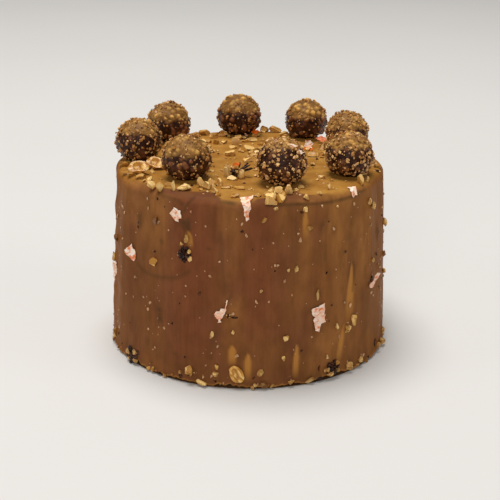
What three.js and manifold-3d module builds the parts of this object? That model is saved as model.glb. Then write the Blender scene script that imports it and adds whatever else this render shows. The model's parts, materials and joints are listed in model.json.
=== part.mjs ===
// A tall round honey cake under milk-chocolate glaze, whole and uncut. Chopped hazelnuts, toasted crumbs
// and flakes of copper leaf are stuck in the glaze, and eight nut-crusted chocolate balls stand in a ring
// on top. Millimetres, +Z up, origin in the middle of the base. The front is towards -Y.
import * as THREE from "three";
import { mergeVertices } from "three/addons/utils/BufferGeometryUtils.js";
import Module from "manifold-3d";

const wasm = await Module();
wasm.setup();

// Cake
const HEIGHT = 117;
const TOP_RADIUS = 85;
const BASE_RADIUS = 90;
const EDGE_ROUND = 5; // radius of the top edge
const EDGE_TURNS = [25, 50, 75]; // degrees round the edge at which it has a row of corners
const FOOT_BEVEL = 1.2; // small step round the foot
const SIDE_STATIONS = 7;
const SEGMENTS = 72;
const TOP_RINGS = [66, 34]; // radii of the rings that carry the unevenness of the top
const RIPPLE = 0.35; // height of the upright ripples that the palette knife left
const RIPPLE_WAVES = [
  // count: waves round the cake. drift: how far a wave turns with each millimetre up
  { count: 7, phase: 1.3, drift: 0, strength: 1 },
  { count: 12, phase: 0.7, drift: 1 / 70, strength: 0.9 },
  { count: 21, phase: 2.1, drift: -1 / 45, strength: 0.7 },
];
const SMOOTH_NEAR_FOOT = 12; // the ripples fade out over this height at the foot
const SMOOTH_NEAR_RIM = 8; // and over this height at the rim
const SWELL = 0.4; // unevenness of the top
const SWELL_LENGTHS = [19, 23]; // how quickly the top rises and falls along X and Y

// Balls
const BALL_SINK = 1.3; // how deep each ball sits in the soft glaze
const BALL_GAP = 0.35; // clearance between a ball and its seat
const BALL_DETAIL = 4; // subdivision of a ball and of its seat
const CRUST = 1.4; // how far the chopped nuts stand out of a ball
const CRUST_SHARE = 0.5; // share of the crust's points that stand out
const SMOOTH_FOOT = 38; // degrees from a ball's lowest point that stay smooth
const CRUST_FADE = 14; // degrees over which the crust comes up above the smooth foot
const BALLS = [
  // around: degrees from +X. out: from the cake's axis. size: radius over the crust
  { around: 28, out: 73, size: 14.5 },
  { around: 60, out: 77, size: 14.7 },
  { around: 96, out: 75, size: 15.3 },
  { around: 136, out: 77, size: 14.8 },
  { around: 178, out: 71, size: 15.0 },
  { around: 226, out: 55, size: 15.2 },
  { around: 292, out: 51, size: 15.4 },
  { around: 336, out: 67, size: 15.0 },
];

// Chopped nuts on the side: degrees around, height, width, length
const SIDE_NUTS = [
  [-33, 105.8, 3.4, 3.8],
  [-30, 102.2, 4.4, 4.6],
  [-71, 75, 2.6, 4.4],
  [-62, 57, 2.2, 7.6],
  [-43, 34, 4.5, 7.2],
  [-47, 30, 4.3, 5.2],
  [-75, 32, 3.6, 3.8],
  [-76, 19, 2.4, 3.8],
  [-46, 5, 4.5, 6.0],
  [-39, 5.5, 4.0, 3.6],
  [-65, 3, 6.7, 3.6],
  [-73, 3.5, 4.2, 3.0],
  [-83, 3.2, 5.6, 4.4],
  [-113, 9, 4.8, 7.1],
  [-108, 3, 6.6, 4.0],
  [-102, 11, 3.2, 3.4],
  [-163, 9, 3.6, 7.6],
  [-130, 73, 5.4, 5.7],
  [-130, 98.6, 3.8, 5.7],
  [-162, 74, 4.0, 5.4],
  [-171, 56.7, 2.6, 6.4],
  [-115, 91.9, 2.8, 5.2],
  [-84, 106, 3.4, 3.1],
  [-6, 96, 3.4, 4.6],
  [-9, 60, 3.0, 4.4],
];
// Halved hazelnuts with the cut face out, on the side: degrees around, height, width, length
const SIDE_HALVES = [
  [-94, 10, 8.4, 11.4],
  [128, 9, 8.0, 10.0],
];
// Chopped nuts on the top: x, y, width, length, thickness
const TOP_NUTS = [
  [-66, -42, 6.1, 5.0, 2.8],
  [-58, -61, 4.8, 4.0, 4.4],
  [-53, -64, 4.3, 3.8, 5.0],
  [-46, -67, 2.4, 2.2, 5.0],
  [-38, -63, 7.1, 5.2, 4.6],
  [-29, -59, 3.8, 3.2, 5.4],
  [-26, -63, 4.4, 3.8, 4.4],
  [-23, -55, 4.8, 3.9, 4.2],
  [-18.5, -55, 4.2, 3.6, 4.4],
  [-19, -73, 5.0, 4.6, 4.6],
  [-14, -59, 5.4, 4.4, 2.0],
  [-6, -59, 6.6, 5.0, 2.0],
  [12, -80, 7.2, 5.2, 5.0],
  [19, -79, 4.6, 4.6, 4.4],
  [17, -68, 7.3, 5.4, 4.2],
  [23, -70, 4.7, 3.8, 5.4],
  [-1, -1, 6.4, 5.1, 3.2],
  [3, 13, 6.0, 4.8, 2.2],
  [-13, 14, 6.8, 5.2, 3.0],
  [-1, 27, 8.4, 5.4, 3.8],
  [-9, 43, 6.2, 5.0, 4.6],
  [-18, 44, 5.0, 4.2, 3.2],
  [17, 79, 6.4, 5.1, 4.0],
  [48, 32, 4.6, 4.2, 4.2],
  [39, -8, 5.0, 4.0, 2.2],
  [44, -37, 5.0, 4.0, 2.2],
  [67, -46.5, 3.8, 3.4, 5.4],
  [33, -76, 3.6, 3.2, 3.2],
  [79, -2, 3.6, 3.2, 3.2],
  [-32, 67, 8.4, 5.6, 3.8],
  [-20, 66, 9.4, 5.6, 4.2],
  [14, 48, 7.5, 5.4, 4.0],
  [41, 15, 7.8, 5.4, 3.0],
  [-37, 61, 6.2, 5.2, 3.2],
  [-75, -30, 8.0, 5.4, 3.6],
  [81, -9, 5.0, 4.4, 3.8],
];
// Halved hazelnuts on the top: x, y, width, length
const TOP_HALVES = [
  [-67, -22, 9.4, 7.6],
  [-57, -15, 8.4, 7.0],
];
// Flakes of leaf on the side: degrees around, height, width, length, turn in the plane of the flake
const SIDE_FLAKES = [
  [-120, 105, 7.6, 8.4, 20],
  [-145, 73, 7.2, 10.2, -10],
  [-91, 106, 7.2, 12.5, 6],
  [-101, 49, 7.0, 9.5, -30],
  [-61, 43, 8.2, 17.5, -8],
  [-25, 52, 5.6, 8.2, -35],
  [-6, 80, 6.0, 7.0, 12],
  [-47, 109, 5.4, 5.6, -40],
  [-165, 51, 6.0, 12.0, 5],
  [34, 70, 7.0, 12.0, 15],
  [72, 36, 7.4, 9.0, -25],
  [105, 92, 8.0, 11.0, 40],
  [148, 60, 6.6, 13.0, -12],
];
// Flakes of leaf on the top: x, y, width, length, turn
const TOP_FLAKES = [
  [38, 40, 5.6, 7.0, 15],
  [51, 50, 8.0, 4.6, -10],
  [10, 79, 5.6, 4.4, 30],
  [-9, 65, 4.6, 4.0, 0],
];
// Clumps of dark toasted crumbs: degrees around and height on the side, then x and y on the top
const SIDE_CLUMPS = [
  [-115, 81, 9.5],
  [-55, 8, 8.5],
  [-143, 6, 9.5],
  [58, 10, 8.5],
  [160, 84, 7.5],
];
const TOP_CLUMPS = [[-8, -31, 8.5]];

const HIDDEN_NUTS = 22; // on the half of the side that faces away, most of them near the foot
const TOP_BITS = 24; // smaller bits all over the top
const TOP_BITS_OUT = 78; // how far from the middle they lie
const GOLDEN_ANGLE = 2.39996; // in radians; it spreads them evenly
const NUT_THICKNESS = 0.75; // of a nut on the side or a small bit, as a share of its smaller measure
const NUT_SINK = 0.3; // share of a nut's thickness that is buried
const HALF_TURN = 0.5; // radians that the halved nuts are turned in their place
const FLAKE_THICKNESS = 0.7;
const CRUMBS_IN_CLUMP = 4;
const SCATTER_SEED = 4711;
const CRUST_SEED = 90;

const GLAZE = new THREE.MeshStandardMaterial({ color: 0x6e4426, roughness: 0.35, metalness: 0 });
const NUT_BALL = new THREE.MeshStandardMaterial({ color: 0x5a3520, roughness: 0.45, metalness: 0 });

const radians = THREE.MathUtils.degToRad;

// Numbers from 0 to 1 that come out the same every time.
function seeded(seed) {
  let state = seed;
  return () => {
    state = (state * 16807) % 2147483647;
    return state / 2147483647;
  };
}

// ---- the glazed cake

function ripple(angle, height) {
  const nearFoot = Math.min(1, height / SMOOTH_NEAR_FOOT);
  const nearRim = Math.min(1, (HEIGHT - height) / SMOOTH_NEAR_RIM + 0.3);
  let waves = 0;
  for (const { count, phase, drift, strength } of RIPPLE_WAVES) {
    waves += strength * Math.sin(count * angle + phase + drift * height);
  }
  return RIPPLE * nearFoot * nearRim * waves;
}

function sideRadius(angle, height) {
  return THREE.MathUtils.lerp(BASE_RADIUS, TOP_RADIUS, height / HEIGHT) + ripple(angle, height);
}

// Height of the top, which swells a little and falls away at the rounded edge.
function topHeight(x, y) {
  const over = Math.max(0, Math.hypot(x, y) - (TOP_RADIUS - EDGE_ROUND));
  const fall = EDGE_ROUND - Math.sqrt(EDGE_ROUND ** 2 - over ** 2);
  const [alongX, alongY] = SWELL_LENGTHS;
  return HEIGHT - fall + SWELL * Math.sin(x / alongX + 1) * Math.cos(y / alongY);
}

// Half outline of the cake, from the middle of the base up the side to the middle of the top.
function outline() {
  const points = [new THREE.Vector2(0, 0), new THREE.Vector2(BASE_RADIUS - FOOT_BEVEL, 0)];
  const edgeHeight = HEIGHT - EDGE_ROUND;
  for (let i = 0; i <= SIDE_STATIONS; i++) {
    const height = THREE.MathUtils.lerp(FOOT_BEVEL, edgeHeight, i / SIDE_STATIONS);
    points.push(new THREE.Vector2(THREE.MathUtils.lerp(BASE_RADIUS, TOP_RADIUS, height / HEIGHT), height));
  }
  for (const degrees of EDGE_TURNS) {
    const turn = radians(degrees);
    const radius = TOP_RADIUS - EDGE_ROUND + EDGE_ROUND * Math.cos(turn);
    points.push(new THREE.Vector2(radius, edgeHeight + EDGE_ROUND * Math.sin(turn)));
  }
  for (const radius of TOP_RINGS) points.push(new THREE.Vector2(radius, HEIGHT));
  points.push(new THREE.Vector2(0, HEIGHT));
  return points;
}

function glazedCake() {
  const geometry = new THREE.LatheGeometry(outline(), SEGMENTS).rotateX(Math.PI / 2);
  const position = geometry.getAttribute("position");
  for (let i = 0; i < position.count; i++) {
    const x = position.getX(i);
    const y = position.getY(i);
    const z = position.getZ(i);
    const radius = Math.hypot(x, y);
    const onSide = z > FOOT_BEVEL / 2 && radius > TOP_RINGS[0] + 1;
    const grown = onSide ? 1 + ripple(Math.atan2(y, x), z) / radius : 1;
    const raised = z > HEIGHT - 0.01 ? topHeight(x, y) - HEIGHT : 0;
    position.setXYZ(i, x * grown, y * grown, z + raised);
  }
  return solid(geometry);
}

// ---- what sticks in the glaze

// A seat is a place on the glaze: a matrix whose Z points out of it and whose Y points up or away.
function sideSeat(degrees, height) {
  const angle = radians(degrees);
  const lean = Math.atan2(BASE_RADIUS - TOP_RADIUS, HEIGHT);
  const radius = sideRadius(angle, height);
  return new THREE.Matrix4()
    .makeRotationZ(angle + Math.PI / 2)
    .multiply(new THREE.Matrix4().makeRotationX(Math.PI / 2 - lean))
    .setPosition(radius * Math.cos(angle), radius * Math.sin(angle), height);
}

function topSeat(x, y) {
  return new THREE.Matrix4().setPosition(x, y, topHeight(x, y));
}

// A broken piece of nut: an icosahedron turned at random, with each corner pushed in or out.
function chunk(next, width, length, thickness) {
  const geometry = bare(new THREE.IcosahedronGeometry(0.5, 0));
  const position = geometry.getAttribute("position");
  const spin = new THREE.Euler(6 * next(), 6 * next(), 0);
  const corner = new THREE.Vector3();
  for (let i = 0; i < position.count; i++) {
    corner.fromBufferAttribute(position, i).applyEuler(spin).multiplyScalar(0.85 + 0.35 * next());
    position.setXYZ(i, corner.x * width, corner.y * length, corner.z * thickness);
  }
  return geometry;
}

// Half a hazelnut with its cut face outwards: an egg shape cut flat, with a hollow in the middle.
function halfNut(width, length) {
  const geometry = bare(new THREE.IcosahedronGeometry(0.5, 1));
  const position = geometry.getAttribute("position");
  for (let i = 0; i < position.count; i++) {
    const x = position.getX(i);
    const y = position.getY(i);
    const rim = Math.hypot(x, y) / 0.5;
    const z = Math.min(position.getZ(i), 0.1 + 0.18 * rim);
    position.setXYZ(i, x * width, y * length * (1 - 0.25 * y), z * Math.min(width, length) * 0.8);
  }
  return geometry;
}

// A torn flake of leaf, with one corner drawn out to a point.
function flake(next, width, length) {
  const corners = 6;
  const points = [];
  for (let i = 0; i < corners; i++) {
    const turn = (2 * Math.PI * (i + 0.3 * next())) / corners;
    const reach = i === 1 ? 0.58 : 0.36 + 0.16 * next();
    points.push(new THREE.Vector2(reach * width * Math.cos(turn), reach * length * Math.sin(turn)));
  }
  const options = { depth: FLAKE_THICKNESS, bevelEnabled: false };
  return new THREE.ExtrudeGeometry(new THREE.Shape(points), options).translate(0, 0, -FLAKE_THICKNESS * 0.4);
}

function ballCentre({ around, out, size }) {
  const angle = radians(around);
  const [x, y] = [out * Math.cos(angle), out * Math.sin(angle)];
  return new THREE.Vector3(x, y, HEIGHT + size - CRUST - BALL_SINK);
}

function clearOfBalls(seat, reach) {
  const place = new THREE.Vector3().setFromMatrixPosition(seat);
  return BALLS.every((ball) => ballCentre(ball).distanceTo(place) > ball.size + reach + BALL_GAP);
}

// Every piece stuck in the glaze, as solids in their places.
function toppings() {
  const pieces = [];
  const next = seeded(SCATTER_SEED);

  function stick(geometry, seat, reach, lift = 0, turn = 0) {
    if (!clearOfBalls(seat, reach)) return;
    const place = new THREE.Matrix4().makeRotationZ(turn).setPosition(0, 0, lift);
    pieces.push(solid(geometry.applyMatrix4(place).applyMatrix4(seat)));
  }
  function nut(seat, width, length, thickness = NUT_THICKNESS * Math.min(width, length)) {
    const lift = thickness * (0.5 - NUT_SINK);
    stick(chunk(next, width, length, thickness), seat, Math.max(width, length) / 2, lift);
  }
  function half(seat, width, length) {
    stick(halfNut(width, length), seat, length / 2, 0.06 * length, HALF_TURN);
  }
  function leaf(seat, width, length, degrees) {
    stick(flake(next, width, length), seat, length / 2, 0, radians(degrees));
  }
  function clump(seat, size) {
    for (let i = 0; i < CRUMBS_IN_CLUMP; i++) {
      const turn = (2 * Math.PI * i) / CRUMBS_IN_CLUMP + next();
      const [x, y] = [0.27 * size * Math.cos(turn), 0.3 * size * Math.sin(turn)];
      const wide = size * (0.34 + 0.2 * next());
      const crumb = chunk(next, wide, wide * 0.8, wide * 0.7).translate(x, y, 0);
      stick(crumb, seat, size / 2, wide * 0.1);
    }
  }

  for (const [around, height, width, length] of SIDE_NUTS) nut(sideSeat(around, height), width, length);
  for (const [x, y, ...size] of TOP_NUTS) nut(topSeat(x, y), ...size);
  for (const [around, height, width, length] of SIDE_HALVES) half(sideSeat(around, height), width, length);
  for (const [x, y, width, length] of TOP_HALVES) half(topSeat(x, y), width, length);
  for (const [around, height, ...shape] of SIDE_FLAKES) leaf(sideSeat(around, height), ...shape);
  for (const [x, y, ...shape] of TOP_FLAKES) leaf(topSeat(x, y), ...shape);
  for (const [around, height, size] of SIDE_CLUMPS) clump(sideSeat(around, height), size);
  for (const [x, y, size] of TOP_CLUMPS) clump(topSeat(x, y), size);

  for (let i = 0; i < HIDDEN_NUTS; i++) {
    const around = (180 * (i + 0.8 * next())) / HIDDEN_NUTS;
    const height = i % 3 === 0 ? 14 + 90 * next() : 5 + 6 * next();
    nut(sideSeat(around, height), 3.4 + 3 * next(), 3.6 + 2.8 * next());
  }
  for (let i = 0; i < TOP_BITS; i++) {
    const angle = GOLDEN_ANGLE * i + 0.5 * next();
    const out = TOP_BITS_OUT * Math.sqrt((i + 0.5) / TOP_BITS);
    nut(topSeat(out * Math.cos(angle), out * Math.sin(angle)), 3 + 2.6 * next(), 3 + 2 * next());
  }
  return pieces;
}

// ---- the balls

// A chocolate ball whose crust of chopped nuts stands out in lumps, except under its foot.
function nutBall(size, seed) {
  const geometry = bare(new THREE.IcosahedronGeometry(1, BALL_DETAIL));
  const position = geometry.getAttribute("position");
  const next = seeded(seed);
  const point = new THREE.Vector3();
  for (let i = 0; i < position.count; i++) {
    point.fromBufferAttribute(position, i).normalize();
    const fromFoot = THREE.MathUtils.radToDeg(Math.acos(-point.z));
    const rise = THREE.MathUtils.smoothstep(fromFoot, SMOOTH_FOOT, SMOOTH_FOOT + CRUST_FADE);
    const lump = next() < CRUST_SHARE ? 0.55 + 0.45 * next() : 0.25 * next();
    point.multiplyScalar(size - CRUST + CRUST * rise * lump);
    position.setXYZ(i, point.x, point.y, point.z);
  }
  return geometry;
}

// ---- from geometry to closed solids and back

// The geometry with its positions only, and each corner held once.
function bare(geometry) {
  geometry.deleteAttribute("normal");
  geometry.deleteAttribute("uv");
  return mergeVertices(geometry, 1e-4);
}

function solid(geometry) {
  const { attributes, index } = bare(geometry);
  const mesh = new wasm.Mesh({
    numProp: 3,
    vertProperties: new Float32Array(attributes.position.array),
    triVerts: new Uint32Array(index.array),
  });
  return new wasm.Manifold(mesh);
}

function toGeometry(manifold) {
  const { vertProperties, triVerts } = manifold.getMesh();
  const geometry = new THREE.BufferGeometry();
  geometry.setAttribute("position", new THREE.BufferAttribute(vertProperties, 3));
  geometry.setIndex(new THREE.BufferAttribute(triVerts, 1));
  geometry.computeVertexNormals();
  return geometry;
}

// The cake with everything that is stuck in it, and a shallow seat under each ball.
function toppedCake() {
  let cake = wasm.Manifold.union([glazedCake(), ...toppings()]);
  for (const ball of BALLS) {
    const centre = ballCentre(ball);
    const seat = new THREE.IcosahedronGeometry(ball.size - CRUST + BALL_GAP, BALL_DETAIL);
    seat.rotateZ(radians(ball.around)).translate(centre.x, centre.y, centre.z);
    cake = cake.subtract(solid(seat));
  }
  const pieces = cake.decompose().sort((a, b) => b.volume() - a.volume());
  return toGeometry(pieces[0]);
}

const honeyCake = new THREE.Group();

const cake = new THREE.Mesh(toppedCake(), GLAZE);
cake.name = "cake";
honeyCake.add(cake);

BALLS.forEach((ball, i) => {
  const mesh = new THREE.Mesh(nutBall(ball.size, CRUST_SEED + i), NUT_BALL);
  mesh.name = `nut_ball_${i + 1}`;
  mesh.position.copy(ballCentre(ball));
  mesh.rotation.z = radians(ball.around);
  honeyCake.add(mesh);
});

export default honeyCake;
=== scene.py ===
# A tall honey cake under milk-chocolate glaze, with chopped hazelnuts, dark toasted crumbs, copper leaf
# and a ring of nut-crusted chocolate balls. Metres, +Z up, the front towards -Y, base on the floor.
import json
import math
import random

import bmesh
import bpy
from mathutils import Matrix, Vector, kdtree, noise

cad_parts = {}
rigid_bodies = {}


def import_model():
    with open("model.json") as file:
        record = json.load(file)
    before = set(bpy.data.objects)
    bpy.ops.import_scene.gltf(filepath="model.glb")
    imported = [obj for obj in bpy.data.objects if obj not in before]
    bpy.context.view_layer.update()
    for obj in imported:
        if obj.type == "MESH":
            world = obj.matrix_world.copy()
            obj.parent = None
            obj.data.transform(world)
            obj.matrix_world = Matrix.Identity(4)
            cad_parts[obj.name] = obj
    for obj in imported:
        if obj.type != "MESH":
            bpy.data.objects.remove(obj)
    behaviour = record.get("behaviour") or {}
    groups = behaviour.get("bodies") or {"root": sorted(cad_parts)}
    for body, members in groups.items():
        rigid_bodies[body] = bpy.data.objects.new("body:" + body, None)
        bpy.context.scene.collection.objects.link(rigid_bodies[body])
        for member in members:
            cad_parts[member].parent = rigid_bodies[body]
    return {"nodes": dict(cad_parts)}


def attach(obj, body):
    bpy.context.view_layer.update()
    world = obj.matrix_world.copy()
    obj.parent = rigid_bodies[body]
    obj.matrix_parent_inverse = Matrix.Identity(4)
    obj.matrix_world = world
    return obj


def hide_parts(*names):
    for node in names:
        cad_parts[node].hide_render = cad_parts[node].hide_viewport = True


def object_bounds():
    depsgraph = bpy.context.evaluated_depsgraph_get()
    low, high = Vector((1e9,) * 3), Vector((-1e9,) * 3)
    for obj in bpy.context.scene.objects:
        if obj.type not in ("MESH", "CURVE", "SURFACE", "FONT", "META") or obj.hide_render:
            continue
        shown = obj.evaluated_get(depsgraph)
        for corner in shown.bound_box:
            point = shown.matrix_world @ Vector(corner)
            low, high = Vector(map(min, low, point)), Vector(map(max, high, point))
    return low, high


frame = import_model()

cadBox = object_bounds()
mm = 0.001
fullTurn = 6.28  # radians
goldenTurn = 2.39996  # radians from one piece to the next where they fill a round evenly
noise.seed_set(8)  # noise_vector would otherwise start from the clock
print("frame loaded:", len(frame["nodes"]), "nodes")


# small helpers for selecting, joining and copying

def clearSelection():
    bpy.ops.object.select_all(action="DESELECT")


def makeActive(obj):
    clearSelection()
    obj.select_set(True)
    bpy.context.view_layer.objects.active = obj


def startEditing(obj):
    makeActive(obj)
    bpy.ops.object.mode_set(mode="EDIT")
    bpy.ops.mesh.select_all(action="DESELECT")


def stopEditing():
    bpy.ops.object.mode_set(mode="OBJECT")


def pick(obj, kind, test):
    # in edit mode, selects the vertices, edges or faces for which the test is true
    bpy.ops.mesh.select_mode(type=kind)
    bpy.ops.mesh.select_all(action="DESELECT")
    mesh = bmesh.from_edit_mesh(obj.data)
    parts = {"VERT": mesh.verts, "EDGE": mesh.edges, "FACE": mesh.faces}[kind]
    for part in parts:
        if test(part):
            part.select_set(True)
    bmesh.update_edit_mesh(obj.data)


def cutAcross(place, facing, **settings):
    # in edit mode, cuts the whole mesh along a plane
    bpy.ops.mesh.select_all(action="SELECT")
    bpy.ops.mesh.bisect(plane_co=place, plane_no=facing, **settings)


def joinAll(pieces, name):
    clearSelection()
    for piece in pieces:
        piece.select_set(True)
    bpy.context.view_layer.objects.active = pieces[0]
    bpy.ops.object.join()
    joined = bpy.context.object
    joined.name = name
    joined.data.name = name
    return joined


def setAttribute(data, name, values, domain="POINT"):
    layer = data.attributes.get(name) or data.attributes.new(name, "FLOAT", domain)
    layer.data.foreach_set("value", values)


def tuckIn(piece):
    # slides a topping inwards, or up off the floor, until it is inside the box of the solids
    low, high = cadBox
    shift = [0, 0, 0]
    for axis in range(3):
        places = [vertex.co[axis] for vertex in piece.data.vertices]
        shift[axis] = min(0, high[axis] - max(places)) + max(0, low[axis] - min(places))
    if any(shift):
        piece.data.transform(Matrix.Translation(shift))


def layCopy(pieces, model, place, tone=0.5, coat=0, seat=None, depth=1):
    # adds a copy with its own mesh, its place in the mesh; tone and coat steer its colour,
    # and where a seat is given, glaze clings to the lower part
    twin = model.copy()
    twin.data = model.data.copy()
    twin.data.transform(place)
    twin.matrix_world = Matrix.Identity(4)
    bpy.context.scene.collection.objects.link(twin)
    corners = twin.data.vertices
    coats = [coat] * len(corners)
    if seat is not None:
        inward = seat.inverted()
        coats = [max(coat, 1 - smoothStep(-0.05, 0.16, (inward @ corner.co).z / depth)) for corner in corners]
    setAttribute(twin.data, "tone", [tone] * len(corners))
    setAttribute(twin.data, "coat", coats)
    tuckIn(twin)
    pieces.append(twin)


def fitTo(model, spin, size, sink):
    # a place that turns the model, then makes it exactly this size with its lowest part sunk under Z = 0
    corners = [spin @ vertex.co for vertex in model.data.vertices]
    low = Vector([min(corner[axis] for corner in corners) for axis in range(3)])
    high = Vector([max(corner[axis] for corner in corners) for axis in range(3)])
    scale = [size[axis] / (high[axis] - low[axis]) for axis in range(3)]
    lift = Matrix.Translation((0, 0, size[2] * (0.5 - sink)))
    return lift @ Matrix.Diagonal((*scale, 1)) @ Matrix.Translation(-(low + high) / 2) @ spin


def polar(angle, out, up=0):
    # a point from its angle in radians, its distance from the axis and its height
    return Vector((out * math.cos(angle), out * math.sin(angle), up))


def noiseAt(*place):
    return noise.noise(Vector(place))


def turned(degrees, axis):
    return Matrix.Rotation(math.radians(degrees), 4, axis)


def tumbled(draw):
    return Matrix.Rotation(draw.uniform(0, fullTurn), 4, "Z") @ Matrix.Rotation(draw.uniform(0, fullTurn), 4, "X")


def smoothStep(low, high, value):
    t = min(1, max(0, (value - low) / (high - low)))
    return t * t * (3 - 2 * t)


def bump(distance, width):
    # 1 in the middle, 0 from width outwards, with soft shoulders
    t = max(0, 1 - (distance / width) ** 2)
    return t * t


def turnBetween(a, b):
    # smallest turn from b to a, in degrees
    return (a - b + 180) % 360 - 180


def levelAlong(line, degrees):
    # how high a line of points (around, height) is at this angle; nothing off its ends
    for (a, low), (b, high) in zip(line, line[1:]):
        if a <= degrees <= b:
            return low + (high - low) * (degrees - a) / (b - a)


def dress(piece, material, node):
    # the piece's material, and what the frame has to know of it
    piece.data.materials.clear()
    piece.data.materials.append(material)
    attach(piece, "root")
    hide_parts(node)


# material helpers

def paint(red, green, blue):
    # a colour as the screen shows it, 0 to 255
    parts = [c / 255 for c in (red, green, blue)]
    linear = [c / 12.92 if c <= 0.04045 else ((c + 0.055) / 1.055) ** 2.4 for c in parts]
    return (*linear, 1)


def newMaterial(name, look):
    material = bpy.data.materials.new(name)
    material.use_nodes = True
    shader = material.node_tree.nodes["Principled BSDF"]
    for socket, value in look.items():
        shader.inputs[socket].default_value = value
    return material, material.node_tree, shader


def plug(tree, value, socket):
    if isinstance(value, bpy.types.NodeSocket):
        tree.links.new(value, socket)
    else:
        socket.default_value = value


def addNode(tree, kind, inputs=None, **settings):
    node = tree.nodes.new("ShaderNode" + kind)
    for name, value in settings.items():
        setattr(node, name, value)
    for socket, value in (inputs or {}).items():
        plug(tree, value, node.inputs[socket])
    return node


def grain(tree, size, stretch=(1, 1, 1), detail=3, shift=(0, 0, 0)):
    # noise whose patches are about size metres across before stretching
    where = addNode(tree, "TexCoord")
    mapping = addNode(tree, "Mapping", {"Vector": where.outputs["Object"], "Scale": stretch, "Location": shift})
    pattern = addNode(tree, "TexNoise", {"Vector": mapping.outputs[0], "Scale": 1 / size, "Detail": detail})
    return pattern.outputs["Fac"]


def spread(tree, source, low, high, start=0, end=1):
    # the source stretched so that low becomes start and high becomes end
    inputs = {"Value": source, "From Min": low, "From Max": high, "To Min": start, "To Max": end}
    return addNode(tree, "MapRange", inputs).outputs[0]


def patches(tree, size, low, high, start=0, end=1, **pattern):
    # soft patches of noise, with the contrast of spread
    return spread(tree, grain(tree, size, **pattern), low, high, start, end)


def mixColour(tree, factor, a, b):
    node = addNode(tree, "Mix", {0: factor}, data_type="RGBA")
    plug(tree, a, node.inputs[6])
    plug(tree, b, node.inputs[7])
    return node.outputs[2]


def layOver(tree, colour, *layers):
    # paints layers over a colour; each has where it shows (a pattern or an attribute), how strongly, and its colour
    for where, strength, tone in layers:
        share = readAttribute(tree, where) if isinstance(where, str) else where
        if strength != 1:
            share = addNode(tree, "Math", {0: share, 1: strength}, operation="MULTIPLY", use_clamp=True).outputs[0]
        colour = mixColour(tree, share, colour, tone)
    return colour


def finishLook(tree, shader, colour, relief, strength, depth):
    # the colour, and bumps as deep as depth where strength is 1
    tree.links.new(colour, shader.inputs["Base Color"])
    node = addNode(tree, "Bump", {"Height": relief, "Strength": strength, "Distance": depth})
    tree.links.new(node.outputs[0], shader.inputs["Normal"])


def readAttribute(tree, name):
    return addNode(tree, "Attribute", attribute_name=name).outputs["Fac"]


def facingUp(tree, low, high, start=0, end=1):
    # end where the surface faces up, start where it faces sideways
    upwards = addNode(tree, "SeparateXYZ", {0: addNode(tree, "NewGeometry").outputs["Normal"]}).outputs["Z"]
    return spread(tree, upwards, low, high, start, end)


# the cake's form, as the solids have it

cake = {
    "height": 117 * mm,
    "topRadius": 85 * mm,
    "baseRadius": 90 * mm,
    "edgeRound": 5 * mm,
    "footStep": 1.2 * mm,
    "ripple": 0.35 * mm,
    "swell": 0.4 * mm,
}
lean = math.atan2(cake["baseRadius"] - cake["topRadius"], cake["height"])
meanRadius = 88  # of the side, in millimetres

ballSet = {"sink": 1.3 * mm, "crust": 1.4 * mm, "smoothFoot": 38}
ballPlaces = [  # degrees from +X, distance from the axis, radius over the crust, where the pale cap ends (0 the
    # middle, 1 the top), how many bits of nut show and how bare they are
    (28, 73 * mm, 14.5 * mm, 0.3, 0.4),
    (60, 77 * mm, 14.7 * mm, 0.3, 0.05),
    (96, 75 * mm, 15.3 * mm, 0.3, 0.05),
    (136, 77 * mm, 14.8 * mm, 0.25, 0.05),
    (178, 71 * mm, 15.0 * mm, 0.5, 0.3),
    (226, 55 * mm, 15.2 * mm, 0.26, 0.25),
    (292, 51 * mm, 15.4 * mm, 0.72, 0.8),
    (336, 67 * mm, 15.0 * mm, 0.5, 0.55),
]


def ballCentre(place):
    around, out, size = place[:3]
    return polar(math.radians(around), out, cake["height"] + size - ballSet["crust"] - ballSet["sink"])


def ripple(angle, height):
    # slow waves round the side, 7, 12 and 21 to a turn, that fade at the foot and the rim
    up = height / mm
    fade = min(1, up / 12) * min(1, (cake["height"] / mm - up) / 8 + 0.3)
    waves = math.sin(7 * angle + 1.3)
    waves += 0.9 * math.sin(12 * angle + 0.7 + up / 70)
    waves += 0.7 * math.sin(21 * angle + 2.1 - up / 45)
    return cake["ripple"] * fade * waves


def sideRadius(angle, height):
    share = height / cake["height"]
    return cake["baseRadius"] + (cake["topRadius"] - cake["baseRadius"]) * share + ripple(angle, height)


def topHeight(x, y):
    over = min(cake["edgeRound"], max(0, math.hypot(x, y) - cake["topRadius"] + cake["edgeRound"]))
    fall = cake["edgeRound"] - math.sqrt(cake["edgeRound"] ** 2 - over ** 2)
    return cake["height"] - fall + cake["swell"] * math.sin(x / mm / 19 + 1) * math.cos(y / mm / 23)


def sideSeat(degrees, up):
    # a place on the side, up in millimetres: its Z points out of the glaze, its Y up
    angle, height = math.radians(degrees), up * mm
    over = max(0, height - cake["height"] + cake["edgeRound"])
    tip = math.asin(min(1, over / cake["edgeRound"]))  # how far the rounded rim has turned in
    out = sideRadius(angle, height) - cake["edgeRound"] * (1 - math.cos(tip))
    tilt = math.pi / 2 - max(lean, tip)
    spot = Matrix.Translation(polar(angle, out, height))
    return spot @ Matrix.Rotation(angle + math.pi / 2, 4, "Z") @ Matrix.Rotation(tilt, 4, "X")


def topSeat(x, y, lift=0):
    # a place on the top, all in millimetres
    return Matrix.Translation((x * mm, y * mm, topHeight(x * mm, y * mm) + lift * mm))


def topSeatAt(angle, out):
    # the same for an angle in radians and metres from the axis
    x, y = out * math.cos(angle), out * math.sin(angle)
    return Matrix.Translation((x, y, topHeight(x, y)))


# where the toppings lie: places in millimetres, angles in degrees;
# tone runs from 0, cream, to 1, brown; coat is how much glaze covers the piece

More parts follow.
